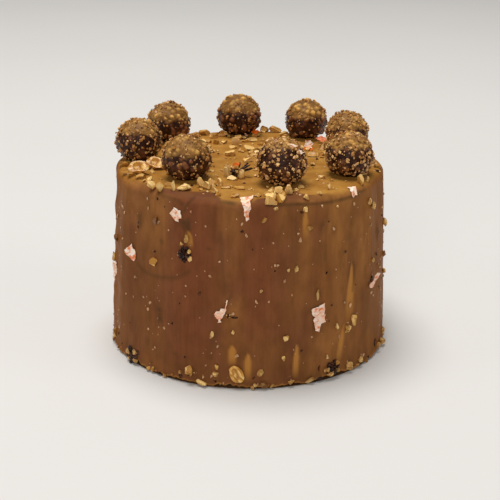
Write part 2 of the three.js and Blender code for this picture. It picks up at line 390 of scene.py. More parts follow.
sideNuts = [  # around, height, width, length, tone, coat
    (-32.6, 105.8, 3.2, 3.6, 0.35, 0.2), (-29.8, 102.2, 4.4, 4.6, 0.3, 0.4), (-71, 75, 2.6, 4.4, 0.2, 0.3),
    (-62, 57, 2.2, 7.6, 0.5, 0.5), (-43, 34, 4.5, 7.2, 0.35, 0.1), (-47, 30, 4.3, 5.2, 0.3, 0.2),
    (-75, 32, 3.6, 3.8, 0.5, 0.1), (-76, 19, 2.4, 3.8, 0.2, 0), (-46, 5, 4.5, 6, 0.45, 0.2),
    (-39, 5.5, 4, 3.6, 0.4, 0.1), (-65, 3, 6.7, 3.6, 0.7, 0.5), (-73, 3.5, 4.2, 3, 0.5, 0.5),
    (-112.8, 8.8, 5.2, 7.4, 0.55, 0.05), (-107.7, 2.6, 7.2, 3.8, 0.6, 0.1), (-102.1, 9.3, 3.6, 3.6, 0.4, 0.1),
    (-101.7, 14, 2.6, 3.4, 0.5, 0), (-163, 9, 3.6, 7.6, 0.5, 0.3), (-130, 73, 5.2, 5.2, 0.6, 0),
    (-84, 106, 3.4, 3.1, 0.8, 0.5), (-67.7, 110.7, 2.9, 3.1, 0, 0), (-65.7, 99, 3.5, 3.3, 0.3, 0.55),
    (-74.3, 74.4, 2, 2.6, 0.2, 0.3), (-85, 62.8, 2.2, 2.4, 0.1, 0.3), (-28.5, 66.4, 2.6, 3, 0.3, 0.3),
    (-52.9, 34.2, 2.2, 4, 0.1, 0), (-103.8, 34.7, 2.4, 3.8, 0.1, 0.1), (-95.7, 36.8, 2, 3, 0.1, 0),
    (-132.7, 2.4, 3, 2.6, 0.5, 0.3), (-114.8, 91.9, 2.8, 5.2, 0.5, 0.4), (-117, 88.3, 2.4, 2.6, 0.3, 0),
    (-81.4, 115.6, 7.2, 6, 0.2, 0), (-77.2, 116.2, 5, 5.4, 0.55, 0.1), (-79.6, 112.4, 2.8, 2.2, 0.1, 0.2),
    (-52.8, 109.3, 1.6, 1.6, 0, 0), (-85.2, 11.3, 4.2, 4.6, 0.35, 0.35),
    (-83.5, 3.2, 5.6, 4.4, 0.9, 0.8), (-87, 3.4, 2.4, 2.4, 0.1, 0), (-171, 56.7, 2.6, 6.4, 0.3, 0.1),
    (-162, 74, 4, 5.4, 0.6, 0.95), (-129.7, 98.6, 3.8, 5.7, 0.9, 1), (-6.5, 81, 3.6, 5.8, 0.2, 0),
    (-8, 60, 3, 4.4, 0.8, 0.9), (-6.5, 47, 3, 3.8, 0.3, 0.1), (-9, 6, 5, 6.4, 0.5, 0.2),
    (-15, 4, 5.4, 4.4, 0.4, 0.3), (-22, 5, 4, 3.4, 0.6, 0.3), (-57.5, 16, 2.4, 2.6, 0.1, 0.1),
    (-56.4, 4.2, 5, 3.4, 0.5, 0.1), (-145.5, 2.4, 5, 3.4, 0.4, 0.1),
]
topNuts = [  # x, y, width, depth, height, tone, coat
    (-38, -66, 8.2, 5.6, 4, 0.15, 0), (-44.8, -66, 2.8, 2.6, 6, 0.3, 0), (-53, -64, 5.4, 4.4, 5.4, 0.4, 0),
    (-58, -59, 5.4, 4.4, 4.6, 0.25, 0), (-59.5, -51, 4.4, 3.8, 4.4, 0.3, 0), (-29, -59, 4.6, 3.6, 6.4, 0.25, 0),
    (-25.5, -63, 5, 4.2, 5, 0.15, 0), (-22.5, -56, 5.4, 4.4, 4.6, 0.25, 0), (-18, -56, 4.8, 4, 5.2, 0.3, 0),
    (-21.5, -62, 3.6, 3.2, 3.4, 0.35, 0.1), (-19.5, -72, 5.4, 4.4, 4.2, 0.2, 0), (-18, -75, 3.2, 3, 3.6, 0.6, 0),
    (-14, -60, 6, 4.6, 2, 0.5, 0.55), (-6, -60, 7.2, 5.2, 1.9, 0.5, 0.5), (13, -68, 5.2, 4.6, 4, 0.3, 0),
    (17.5, -69, 5.4, 4.4, 4.4, 0.2, 0), (23, -70, 5, 4, 6.2, 0.1, 0), (12, -80, 7.8, 5.4, 5.4, 0.15, 0),
    (19, -78.5, 4.8, 4.4, 5, 0.5, 0), (-1, -1, 7, 5.4, 3.6, 0.25, 0), (3, 13, 6.4, 5, 2.2, 0.4, 0.5),
    (-13, 14, 7.4, 5.6, 3.4, 0.3, 0), (-1, 27, 8.6, 5.6, 4.2, 0.4, 0.3), (-9, 43, 6.8, 5.4, 5.2, 0.3, 0),
    (-18, 44, 5.6, 4.6, 3.4, 0.5, 0), (-23, 44, 3.8, 3.4, 3.4, 1, 0.3), (-11, 33, 5.8, 4.6, 2.2, 0.3, 0.3),
    (10, 80.5, 6.4, 4.4, 4.8, 0.5, 0.1), (17.5, 79, 9.4, 5.2, 5.4, 0.5, 0.2), (48, 32, 5.2, 4.4, 5, 0.35, 0),
    (47, 16, 3.2, 3, 3, 0.9, 0.1), (39, -8, 5.4, 4.4, 2.2, 0.25, 0.1), (44, -37, 5.4, 4.2, 2.2, 0.2, 0),
    (67, -46.5, 4, 3.6, 6, 0.35, 0), (33, -76, 3.8, 3.4, 3.2, 0.05, 0.3), (28, -64, 2.8, 2.6, 2.2, 0.2, 0),
    (41, -70, 2.7, 2.4, 2.2, 0.3, 0), (47, -61, 1.9, 1.8, 3.8, 0, 0), (50, -60, 2.1, 1.9, 1.7, 0.5, 0),
    (72, -40, 2.2, 2.1, 3.2, 0.4, 0.3), (79, -2, 3.6, 3.2, 3.6, 0.5, 0.4), (-32, 67, 8.8, 5.8, 4, 0.5, 0.6),
    (-20, 66, 9.6, 5.8, 4.8, 0.5, 0.5), (-13, 70, 5.4, 4.6, 3.2, 0.4, 0.1), (14, 48, 8.2, 5.8, 4.8, 0.45, 0.5),
    (41, 15, 8.2, 5.8, 2.8, 0.5, 0.6), (-25, 59, 6, 5, 3.4, 0.5, 0.5), (-37, 61, 6.6, 5.6, 3.6, 0.5, 0.6),
    (33, 32, 6, 5, 3.2, 0.4, 0.5), (8, 28, 6.6, 5.2, 2.2, 0.4, 0.5), (-66, -42, 6.4, 5.2, 3.2, 0.5, 0.6),
    (-13.5, -36.5, 5.4, 5, 7, 0.1, 0), (-5.2, -38.5, 5, 5, 6.2, 0.15, 0),
    (-10.5, -42.5, 6.4, 3.6, 3, 0.55, 0), (-9, -32, 6.4, 4.6, 6.4, 0.8, 0), (81, -9, 5, 4.4, 3.6, 0.6, 0.9),
    (-75, -30, 8, 5.4, 3.4, 0.6, 0.9),
    (-79, -14, 6.4, 5, 3.6, 0.6, 0.9), (31, -58, 5, 4, 2, 0.4, 0.5), (-48, -58, 4.6, 3.8, 3, 0.4, 0.3),
    (57, 42, 5, 4.4, 3.4, 0.3, 0.2), (-71, -32, 4, 3.4, 2.8, 0.3, 0), (-60, -28, 3.4, 3, 2.6, 0.4, 0.1),
    (-74, -20, 3.6, 3, 2.8, 0.4, 0.1), (22, 38, 5.4, 4.6, 3.2, 0.4, 0.3), (2, 52, 6, 5, 3.6, 0.4, 0.2),
    (-28, 25, 5, 4.4, 2.6, 0.4, 0.2), (25, 8, 5.2, 4.4, 2.4, 0.4, 0.5), (-35, 40, 6, 5, 3.2, 0.4, 0.4),
    (4, 66, 6.4, 5, 3.8, 0.4, 0.4), (24, 60, 6, 4.8, 3.6, 0.5, 0.4), (-8, 58, 5.4, 4.4, 3.2, 0.4, 0.4),
]
sideHalves = [(-94.2, 10.4, 7.8, 12, 24), (128, 9, 7.6, 10.4, -18)]  # around, height, width, length, turn
topHalves = [(-68.3, -32, 12.8, 9.6, 8), (-59, -19, 11.2, 9, -20)]  # x, y, width, length, turn
sideClumps = [  # around, height, width
    (-115.6, 82, 9.5), (-55, 8, 10), (-143, 6, 10.5), (-97.5, 47, 2.4), (58, 10, 8.5), (160, 84, 7.5),
]
topClumps = [(-9.4, -38.6, 5.6, 5.6), (80, -17, 4, 0)]  # x, y, width, height of its core
darkSpikes = [  # x, y, height, length, turn
    (-2.6, -35, 6.2, 7.5, 18), (-1.4, -36, 5, 6.5, -6), (-3, -33.5, 6.6, 6.5, 48), (-6, -33, 6.8, 6, 84),
    (-0.6, -35, 4.6, 6, 8),
]
# some of these are pits in the glaze: a dark crumb laid there stands for the painted shade in the hole
darkMarks = [  # dark crumbs and holes in the glaze: around, height, width, length
    (-92.6, 99, 1.9, 1.8), (-130.8, 78.9, 1.9, 1.7), (-129.4, 112, 1.5, 1.8), (-48.3, 79.7, 1.9, 1.6),
    (-68.9, 108.8, 2.2, 1.8), (-57, 100.9, 1.1, 1.1), (-68.6, 22.7, 1.5, 1.5), (-57.7, 69.4, 1.5, 1.4),
    (-55.4, 48.3, 1.4, 1.4), (-41.4, 55.9, 1, 1), (-79.7, 74.5, 1.1, 1), (-80.2, 111.8, 1.1, 1),
    (-56.5, 38.5, 1.2, 1), (-29, 54, 2.6, 4.4), (-116.8, 4, 2.4, 3.4), (-127.2, 1.8, 4, 2.4), (-60.5, 2.4, 5, 2.6),
    (-87.7, 7.7, 2.2, 2.2),
    (-24.7, 8.6, 2.6, 6.4), (-139.6, 9, 3.4, 3.4), (-95.2, 46, 4.4, 1.1), (-61, 9, 1.6, 4.2), (-102.6, 4, 2.4, 2),
]

trails = [  # light grooves that dragged nuts left: around and height of the tip, the same of the end, width, widening
    (-43.7, 70.5, -45.6, 32, 7.8, 2.4),
    (-48.5, 33, -52.5, 8, 4.6, 3),
    (-70.4, 26, -71.2, 4, 3.6, 3),
    (-89.8, 23, -90.1, 5, 4.2, 4),
    (-95.9, 28, -95.9, 14, 5.2, 4),
    (-114.3, 96, -113.2, 86, 4, 4),
    (-67.4, 109, -67.2, 92, 3.6, 3),
    (44, 60, 43, 20, 6, 2.2),
    (96, 50, 97, 16, 6.5, 2.5),
    (150, 44, 151, 12, 5.5, 4),
]
# each lump is pushed out and painted darker: partly its own darker tone and partly painted shade
hiddenLumps = [  # toppings quite covered by glaze: around, height, width, length, rise
    (-115.1, 100.3, 9, 9, 1.4), (-128.3, 43.7, 5.5, 8, 1.1), (-127.2, 36.6, 5, 9, 1.2), (-127.1, 86.5, 4, 4, 0.8),
    (-105.6, 87.4, 4, 3.4, 0.8), (-101, 28, 6, 5, 0.5), (-140, 95, 7, 12, 0.8), (-60, 98, 6, 9, 0.6),
    (-47, 88, 7, 8, 0.6), (-134, 20, 5, 9, 0.6), (-20, 80, 7, 12, 0.9), (-122, 22, 6, 4, 0.5), (-120, 18, 7, 3, 0.5),
    (-166.4, 97.6, 5, 6, 1), (70, 70, 8, 12, 1), (120, 50, 7, 12, 1), (160, 60, 8, 10, 1.1),
    (20, 40, 7, 14, 0.9),
]
# each crease is pressed in and painted darker as painted shade
folds = [  # soft creases in the glaze: half width and strength, then points on it (around, height)
    (2.2, 0.55, (-141.4, 66.5), (-137.4, 63.7), (-132.2, 63.1), (-127.5, 63.6), (-123.2, 64.6), (-119.1, 66.1),
     (-113.5, 71.8)),
    (2.2, 0.5, (-100.9, 97.5), (-100.5, 88.9), (-100.3, 80.3), (-99.8, 71.7), (-99.2, 64.7), (-99.2, 59.4)),
    (1.7, 0.8, (-112.8, 116), (-114.6, 112.4), (-116.4, 107.7)),
    (2, 0.6, (-129.1, 115.8), (-126.8, 114.1), (-122.5, 113.8), (-119.1, 113.1), (-116.8, 111.5)),
    (1.6, 0.6, (-96.7, 59.7), (-98, 55.1), (-99.1, 51.4)),
    (2.4, 0.35, (-102.4, 36), (-103.1, 32), (-103.9, 26.4), (-104.1, 19)),
    (1.5, 0.4, (-76, 107.9), (-76.6, 102.5), (-77.7, 96.3), (-78.9, 88.2)),
    (1.2, 0.75, (-43.2, 71.4), (-42, 68), (-42.2, 60), (-43, 52)),
    (1.6, 0.4, (-36.2, 104), (-35.6, 92), (-35.8, 80)),
    (2, 0.4, (-57.8, 104), (-58.4, 88), (-58, 70)),
    (2, 0.5, (150, 92), (158, 80), (170, 76), (182, 80)),
    (2, 0.5, (60, 104), (61, 84), (59, 62)),
    (2.2, 0.5, (102, 46), (112, 40), (124, 44)),
]
footGaps = [  # where the glaze ends higher: around, half width in degrees, how much in millimetres
    (-54, 9, 2.4), (-142, 8, 2), (-97, 7, 1.3), (-72, 5, 1), (-118, 6, 1), (40, 9, 2), (110, 8, 1.8),
]
rimShade = [  # where the glaze of the top turns darker towards the rim: around, distance from the axis
    (-165, 87), (-150, 85.5), (-138, 84), (-129, 79), (-120, 73), (-116, 75.5), (-110, 69), (-104, 77), (-100, 85.5),
    (-92, 85), (-84, 80), (-79, 82), (-74, 75), (-68, 69.5), (-64, 79), (-58, 80.5), (-52, 85.5), (-40, 87), (0, 86),
    (40, 82), (90, 86), (140, 81), (180, 86), (195, 87),
]
lightBands = [  # around, half width in degrees, top, bottom, strength
    (-94.4, 3.3, 50, 42, 1), (-34, 7, 130, 66, 0.9), (-152, 9, 130, 98, 0.5), (-43, 7, 120, 92, 0.3),
    (-58, 9, 26, 14, 0.5), (-97, 5, 120, 84, 0.42), (-76, 3, 120, 98, 0.5), (-68, 5, 120, 60, 0.5),
    (-50, 12, 125, -20, 0.55), (-53, 7, 122, 72, 0.5), (-28, 9, 125, -20, 0.5), (-14, 5, 120, 20, 0.3),
    (-131, 7, 120, 78, 0.4), (-128, 4, 112, 96, 0.6), (-141, 5, 120, 95, 0.35), (-158, 8, 120, 10, 0.25),
    (20, 12, 120, 0, 0.4), (75, 7, 120, 50, 0.5), (122, 10, 120, 30, 0.5), (168, 9, 120, 20, 0.3),
]
rosyBands = [  # around, half width in degrees, top, bottom, strength
    (-112, 12, 125, 25, 0.9), (-86, 9, 118, 40, 0.8), (-60, 5, 112, 60, 0.35), (10, 10, 125, 30, 0.7),
    (98, 14, 120, 20, 0.8), (150, 8, 120, 30, 0.6),
]
# each seam is a groove, painted dark as painted shade
seams = [  # dark lines just under the rim: around, height
    [(-84.5, 114.6), (-76, 113.9), (-66, 113.2), (-55, 112.4), (-45, 112.7), (-37, 113.3), (-31, 113.8)],
    [(-101, 115.3), (-95, 114.9)],
]
# painted shade: a deeper brown on the left and right flanks as seen from the front, against the pale reflection of
# the room there
flankShade = [(-3, 40), (186, 30)]  # stronger brown on both flanks: around, half width in degrees


def trailDepth(degrees, height):
    # how deep in a trail a point of the side lies, 0 to 1; height in millimetres
    deepest = 0
    for tipAround, tip, endAround, end, wide, widening in trails:
        share = (tip - height) / (tip - end)
        if not -0.08 < share < 1.1:
            continue
        middle = tipAround + (endAround - tipAround) * share
        away = abs(math.radians(turnBetween(degrees, middle))) * meanRadius
        half = 0.9 + (wide / 2 - 0.4) * min(1, max(0, share) * widening)
        ends = smoothStep(-0.08, 0.08, share) * (1 - smoothStep(0.5, 1.1, share))
        deepest = max(deepest, ends * (1 - smoothStep(0.4, 1.1, away / half)))
    return deepest


def lumpRise(degrees, height):
    # how far toppings under the glaze push a point of the side out, in millimetres
    rise = 0
    for around, level, wide, tall, most in hiddenLumps:
        across = math.radians(turnBetween(degrees, around)) * meanRadius
        away = math.hypot(across / wide, (height - level) / tall) * 2
        if away < 1.4:
            knobs = 0.75 + 0.9 * noiseAt(degrees / 1.6, height / 2.2, 1)
            rise = max(rise, most * knobs * bump(away, 1.4))
    return rise


def foldDepth(degrees, height):
    # how deep in a crease a point of the side lies, 0 to 1
    deepest = 0
    for wide, strength, *points in folds:
        if abs(turnBetween(degrees, points[0][0])) > 45:
            continue
        for (a, ha), (b, hb) in zip(points, points[1:]):
            across, rise = turnBetween(degrees, a) * 1.5, height - ha
            runAcross, runUp = (b - a) * 1.5, hb - ha
            share = (across * runAcross + rise * runUp) / (runAcross ** 2 + runUp ** 2)
            share = min(1, max(0, share))
            away = math.hypot(across - share * runAcross, rise - share * runUp)
            deepest = max(deepest, strength * bump(away, wide))
    return deepest


def bandStrength(bands, degrees, height):
    total = 0
    for around, half, top, bottom, strength in bands:
        wander = 2.5 * noiseAt(around, height / 25, 0)
        level = smoothStep(bottom - 25, bottom + 15, height) * (1 - smoothStep(top - 5, top + 15, height))
        total += strength * level * bump(turnBetween(degrees, around + wander), 1.6 * half)
    return min(1, total)


def rimTone(degrees, radius, where):
    # 1 on the darker glaze near the rim, 0 on the light glaze of the top
    line = levelAlong(rimShade, degrees)
    if line is None:
        return 0
    ragged = 1.6 * noise.noise(where / 7) + 0.9 * noise.noise(where / 2.2)
    strength = 1 - 0.5 * bump(turnBetween(degrees, -54), 15)
    return strength * smoothStep(line - 1.6, line + 1.6, radius / mm + ragged)


def seamDepth(degrees, height):
    # 1 on a dark seam just under the rim, 0 off it
    for line in seams:
        first, last = line[0][0], line[-1][0]
        if not first - 2 < degrees < last + 2:
            continue
        fade = 0.25 * (last - first)
        ends = smoothStep(first - 2, first + min(3, fade), degrees)
        ends *= 1 - smoothStep(last - min(7, fade), last + 2, degrees)
        ends *= 0.75 + 0.5 * noiseAt(degrees / 4, 0, 2)
        return ends * bump(height - levelAlong(line, min(last, max(first, degrees))), 1.5)
    return 0


# the glazed body

glaze = {
    "turnSteps": 560,
    "sideCuts": 88,
    "edgeSegments": 12,
    "topRings": 46,
    "collar": 0.9 * mm,  # how high the glaze creeps up round a ball
    "collarAt": 7.6 * mm,
    "collarWidth": 3.2 * mm,
    "ballGap": 0.12 * mm,  # left between a ball and the glaze under it
    "lumps": 0.3 * mm,
    "lumpPatch": (13, 22),  # width and height of the lumps of the side, in millimetres
    "fine": 0.1 * mm,
    "finePatch": (2.6, 12),
    "streak": 0.07 * mm,
    "streakPatch": (1.5, 28),
    "trail": 0.6 * mm,
    "fold": 0.5 * mm,
    "seam": 0.35 * mm,
    "mound": 0.5 * mm,
    "ring": 1.0 * mm,  # how far the painted shade round a topping reaches
    "bulges": 1.4 * mm,  # soft bulges on the left
    "bulgePatch": (16, 9),
    "bulgesAt": (184, 42),  # around and half width, in degrees
    "droop": 1.1 * mm,  # slumped rim at the front left
    "droopAt": (-142, 22),
    "rimFrom": 108,  # millimetres up; the rim and the top are above it
    "footRows": (0.35, 0.7, 1.0, 1.6, 2.2, 3.0),  # extra rows, in millimetres above the floor
    "footLift": 1.1 * mm,  # how unevenly the glaze ends above the floor
    "footZone": 12,  # millimetres up to which the glaze is pulled up with its edge
    "footInset": 3.4 * mm,
    "lip": 0.9 * mm,
}


def addGlazedBody():
    bpy.ops.mesh.primitive_cylinder_add(
        vertices=glaze["turnSteps"], radius=cake["baseRadius"], depth=cake["height"],
        end_fill_type="NGON", location=(0, 0, cake["height"] / 2))
    body = bpy.context.object
    body.name = "glazedBody"
    bpy.ops.object.transform_apply(location=True)
    startEditing(body)
    pick(body, "VERT", lambda v: v.co.z > cake["height"] / 2)
    narrow = cake["topRadius"] / cake["baseRadius"]
    bpy.ops.transform.resize(value=(narrow, narrow, 1), center_override=(0, 0, cake["height"]))

    # rounded top edge, small step at the foot
    pick(body, "EDGE", lambda e: min(v.co.z for v in e.verts) > cake["height"] - 1e-5)
    bpy.ops.mesh.bevel(offset=cake["edgeRound"], segments=glaze["edgeSegments"], affect="EDGES")
    pick(body, "EDGE", lambda e: max(v.co.z for v in e.verts) < 1e-5)
    bpy.ops.mesh.bevel(offset=cake["footStep"], segments=2, affect="EDGES")

    # rows up the side, rings over the top
    pick(body, "EDGE", lambda e: abs(e.verts[0].co.z - e.verts[1].co.z) > cake["height"] / 2)
    bpy.ops.mesh.subdivide(number_cuts=glaze["sideCuts"])
    for row in glaze["footRows"]:
        cutAcross((0, 0, row * mm), (0, 0, 1))
    pick(body, "FACE", lambda f: len(f.verts) > 4 and f.calc_center_median().z > cake["height"] / 2)
    step = (cake["topRadius"] - cake["edgeRound"]) / (glaze["topRings"] + 1)
    for ring in range(glaze["topRings"]):
        bpy.ops.mesh.inset(thickness=step, use_even_offset=False)
    bpy.ops.mesh.poke()
    stopEditing()
    return body


def moundTree():
    # where each topping lies and how wide it is, for the glaze that creeps up it
    spots = [(sideSeat(*nut[:2]), max(nut[2:4])) for nut in sideNuts + sideHalves]
    spots += [(topSeat(*nut[:2]), max(nut[2:4])) for nut in topNuts + topHalves]
    spots += [(sideSeat(around, height), size) for around, height, size in sideClumps]
    tree = kdtree.KDTree(len(spots))
    for i, (seat, size) in enumerate(spots):
        tree.insert(seat.translation, i)
    tree.balance()
    return tree, [size * mm for seat, size in spots]


def sideNoise(where, patch, level):
    # noise over the side, in patches this wide; level is the height over the height of a patch
    return noiseAt(where.x / patch[0], where.y / patch[0], level)


def sidePush(degrees, up, where):
    # how far the uneven glaze of the side stands out, in metres
    lump, fine, streak = (sideNoise(where, glaze[patch], up / glaze[patch][1])
                          for patch in ("lumpPatch", "finePatch", "streakPatch"))
    bulge = sideNoise(where, glaze["bulgePatch"], up / glaze["bulgePatch"][1] + 4) + 0.15
    around, wide = glaze["bulgesAt"]
    left = bump(turnBetween(degrees, around), wide) * smoothStep(10, 30, up)
    push = ripple(math.radians(degrees), up * mm) + glaze["lumps"] * (lump - 0.35) + glaze["fine"] * fine
    push += glaze["streak"] * streak + glaze["bulges"] * bulge * left
    return push + glaze["lip"] * max(0, 0.35 + noise.noise(where / 5)) * bump(up - 1.7, 1.3)


def footEdge(degrees, up, where):
    # the ragged lower edge: how far the glaze is pulled up and pushed in there, in metres
    ragged = sideNoise(where, (4, 1), 7) + 0.6 * sideNoise(where, (1.3, 1), 9)
    gap = max(most * bump(turnBetween(degrees, around), wide) for around, wide, most in footGaps) * mm
    raised = glaze["footLift"] * max(0, 0.35 + ragged) + gap * (1 + 0.5 * ragged)
    raised *= smoothStep(0.1, 1.2, up) * (1 - smoothStep(1.2, glaze["footZone"], up))
    return raised, (glaze["footInset"] + gap) * (1 - smoothStep(0.5, 1.1, up))


def seatBalls(x, y, z, balls):
    # the glaze under a ball gives way to it, and creeps up a little round it
    for centre, size in balls:
        away = math.hypot(x - centre.x, y - centre.y)
        if away < size:
            z += glaze["collar"] * bump(away - glaze["collarAt"], glaze["collarWidth"])
            z = min(z, centre.z - math.sqrt(size ** 2 - away ** 2) - glaze["ballGap"])
    return z


def shapeGlaze(body):
    # works the soft glaze by hand: ripples, lumps, trails, seats for the balls and creep round the toppings
    tree, sizes = moundTree()
    balls = [(ballCentre(place), place[2] - ballSet["crust"]) for place in ballPlaces]
    names, tones = ("caramel", "rosy", "paintedShade", "shade", "nutShadeRing", "trail", "warm"), []
    flat = cake["topRadius"] - cake["edgeRound"]
    low, high = cadBox
    for vertex in body.data.vertices:
        x, y, z = vertex.co
        radius = math.hypot(x, y)
        angle = math.atan2(y, x)
        degrees = math.degrees(angle)
        up = z / mm
        where = polar(angle, 1) * meanRadius
        spot, near, gap = tree.find(vertex.co)
        creep = glaze["mound"] * bump(gap, 0.9 * sizes[near])
        onTop = z > cake["height"] - 0.5 * mm and radius < flat + 3 * mm
        seam = seamDepth(degrees, up) if up > glaze["rimFrom"] else 0
        trail = band = rosy = warm = fold = hidden = lip = 0
        if radius > flat - 0.5 * mm and z > 0.1 * mm:  # on the side
            trail, fold, hidden = trailDepth(degrees, up), foldDepth(degrees, up), lumpRise(degrees, up)
            band, rosy = bandStrength(lightBands, degrees, up), bandStrength(rosyBands, degrees, up)
            warm = max(bump(turnBetween(degrees, around), wide) for around, wide in flankShade)
            lip = (0.55 + 0.8 * noise.noise(where / 3)) * bump(up - 1.5, 1.0)
            around, wide = glaze["droopAt"]
            droop = bump(turnBetween(degrees, around), wide) * smoothStep(100, 114, up)
            push = sidePush(degrees, up, where) + creep + hidden * mm - glaze["fold"] * fold
            push -= glaze["trail"] * trail + glaze["seam"] * seam + 0.5 * glaze["droop"] * droop
            share = smoothStep(flat - 0.5 * mm, flat + 4 * mm, radius)
            if up < glaze["footZone"]:
                raised, inset = footEdge(degrees, up, where)
                z += raised
                push -= inset
            x += push * share * math.cos(angle)
            y += push * share * math.sin(angle)
            z -= glaze["droop"] * droop * share
        if onTop:
            z += topHeight(x, y) - cake["height"] if radius < flat else 0
            z += glaze["lumps"] * noise.noise(Vector((x, y, 0)) / mm / 9)
            z += 1.6 * glaze["fine"] * noise.noise(Vector((x, y, 3)) / mm / 3.4) + creep
        if z > 110 * mm:
            z = seatBalls(x, y, z, balls)
        vertex.co = (min(high[0], max(low[0], x)), min(high[1], max(low[1], y)), z)

        around = degrees if degrees > rimShade[0][0] else degrees + 360
        # painted shade in the seams and creases and on the covered lumps, and a painted shadow along the foot
        paintedShade = max(seam, 0.8 * fold, min(0.8, 0.85 * hidden), 1 - smoothStep(0.6, 1.1, up))
        shade = rimTone(around, radius, vertex.co / mm) if up > glaze["rimFrom"] else 1
        # painted shade: a darker ring in the glaze round each topping
        ring = bump(gap, 0.5 * sizes[near] + glaze["ring"])
        tones.append((0.6 * band, rosy, paintedShade, shade, ring, max(trail, lip), warm))
    for name, values in zip(names, zip(*tones)):
        setAttribute(body.data, name, values)
    makeActive(body)
    bpy.ops.object.shade_smooth()


def makeGlazeMaterial():
    material, tree, shader = newMaterial("milkChocolateGlaze", {"Roughness": 0.5, "Specular IOR Level": 0.02})
    broad = patches(tree, 0.022, 0.35, 0.68, stretch=(1, 1, 0.3))
    # dark streaks and light threads down the side: grain of the glaze, made stronger to stand also for a painted
    # vertical sheen
    streaks = patches(tree, 0.0042, 0.4, 0.7, stretch=(1, 1, 0.1), detail=5)
    threadsAndSheen = patches(tree, 0.0017, 0.3, 0.7, stretch=(1, 1, 0.07), shift=(5, 2, 0))
    blotches = patches(tree, 0.007, 0.42, 0.66, stretch=(1, 1, 0.6), detail=4, shift=(1, 4, 2))
    mauve = patches(tree, 0.011, 0.48, 0.66, stretch=(1, 1, 0.45), detail=5, shift=(7, 0, 3))
    patchy = patches(tree, 0.012, 0.36, 0.56, 0.5, 1, stretch=(1, 1, 0.4), detail=4, shift=(2, 2, 9))
    cloudy = patches(tree, 0.012, 0.35, 0.65)

    side = layOver(
        tree, mixColour(tree, broad, paint(116, 72, 41), paint(135, 86, 49)),
        ("rosy", 0.85, paint(126, 70, 46)), (mauve, 0.45, paint(118, 70, 52)),
        ("caramel", patchy, paint(184, 125, 65)), (streaks, 0.25, paint(92, 52, 26)),
        (threadsAndSheen, 0.13, paint(156, 104, 56)), (blotches, 0.32, paint(88, 53, 28)),
        # painted shade on the flanks, against the pale reflection there
        ("warm", 0.65, paint(144, 84, 14)), ("trail", 0.85, paint(190, 130, 62)))
    edge = mixColour(tree, mauve, paint(112, 70, 40), paint(106, 62, 45))
    top = layOver(
        tree, mixColour(tree, cloudy, paint(157, 107, 45), paint(177, 128, 60)),
        (blotches, 0.4, paint(140, 88, 34)), ("shade", 1, edge))
    colour = layOver(
        # the top is painted lighter than the side: partly the glaze's own tone and partly painted light from above
        tree, mixColour(tree, facingUp(tree, 0.55, 1), side, top),
        # painted shade: a darker ring round each topping, and darkening in the seams, creases, covered lumps and
        # along the foot
        ("nutShadeRing", 0.42, paint(84, 50, 26)), ("paintedShade", 0.75, paint(74, 56, 34)))
    uneven = patches(tree, 0.006, 0.3, 0.7, 0.38, 0.56, stretch=(1, 1, 0.4), detail=5)
    tree.links.new(uneven, shader.inputs["Roughness"])
    finishLook(tree, shader, colour, grain(tree, 0.0034, stretch=(1, 1, 0.35), detail=7), 0.5, 0.8 * mm)
    return material


glazedBody = addGlazedBody()
shapeGlaze(glazedBody)
dress(glazedBody, makeGlazeMaterial(), "cake")
print("glazed body:", len(glazedBody.data.polygons), "faces")


# chopped hazelnuts

chop = {
    "shapes": 10,
    "shapeSeed": 100,
    "cutAt": (0.12, 0.32),  # how far out the broken faces lie; this and the next five for a nut 1 across
    "weld": 0.05,
    "dent": 0.09,  # how deep the hollow faces are
    "uneven": 0.13,
    "rough": 0.05,
    "skinArea": 0.03,  # smaller faces belong to the rounded side
    "crease": 38,  # degrees between faces from which an edge stays sharp
    "sink": 0.16,  # share of the thickness that is buried
    "topReach": 80,  # millimetres from the axis to which the top is filled, and to which loose pieces lie
    "looseReach": 81,
    "cleanFront": 15,  # how far to the back the top is nearly clean, with pieces smaller by the share below
    "frontShare": 0.45,
    "coatedFrom": (12, 72),  # glazed lumps lie farther back, or farther out
    "seed": 4711,
    # how many are scattered, width in millimetres, length and depth as shares of it, tone and coat
    "hiddenOnSide": (30, (3.2, 6.2), (0.8, 1.3), 0.7, (0.2, 0.8), 0.2),
    "coatedOnTop": (130, (2.6, 7.2), (0.7, 1), (0.3, 0.5), (0.3, 0.6), (0.5, 0.95)),
    "bareOnTop": (80, (2.4, 5.6), (0.7, 1.1), (0.4, 0.65), (0.1, 0.6), (0, 0.35)),
    "crumbsOnTop": (90, (0.9, 2.4), (0.7, 1.4), 0.6, (0, 0.7), (0, 0.4)),
    "atFoot": (76, (1.3, 3.4), (0.7, 1.2), 0.6, (0.3, 1), (0.1, 0.8)),
}


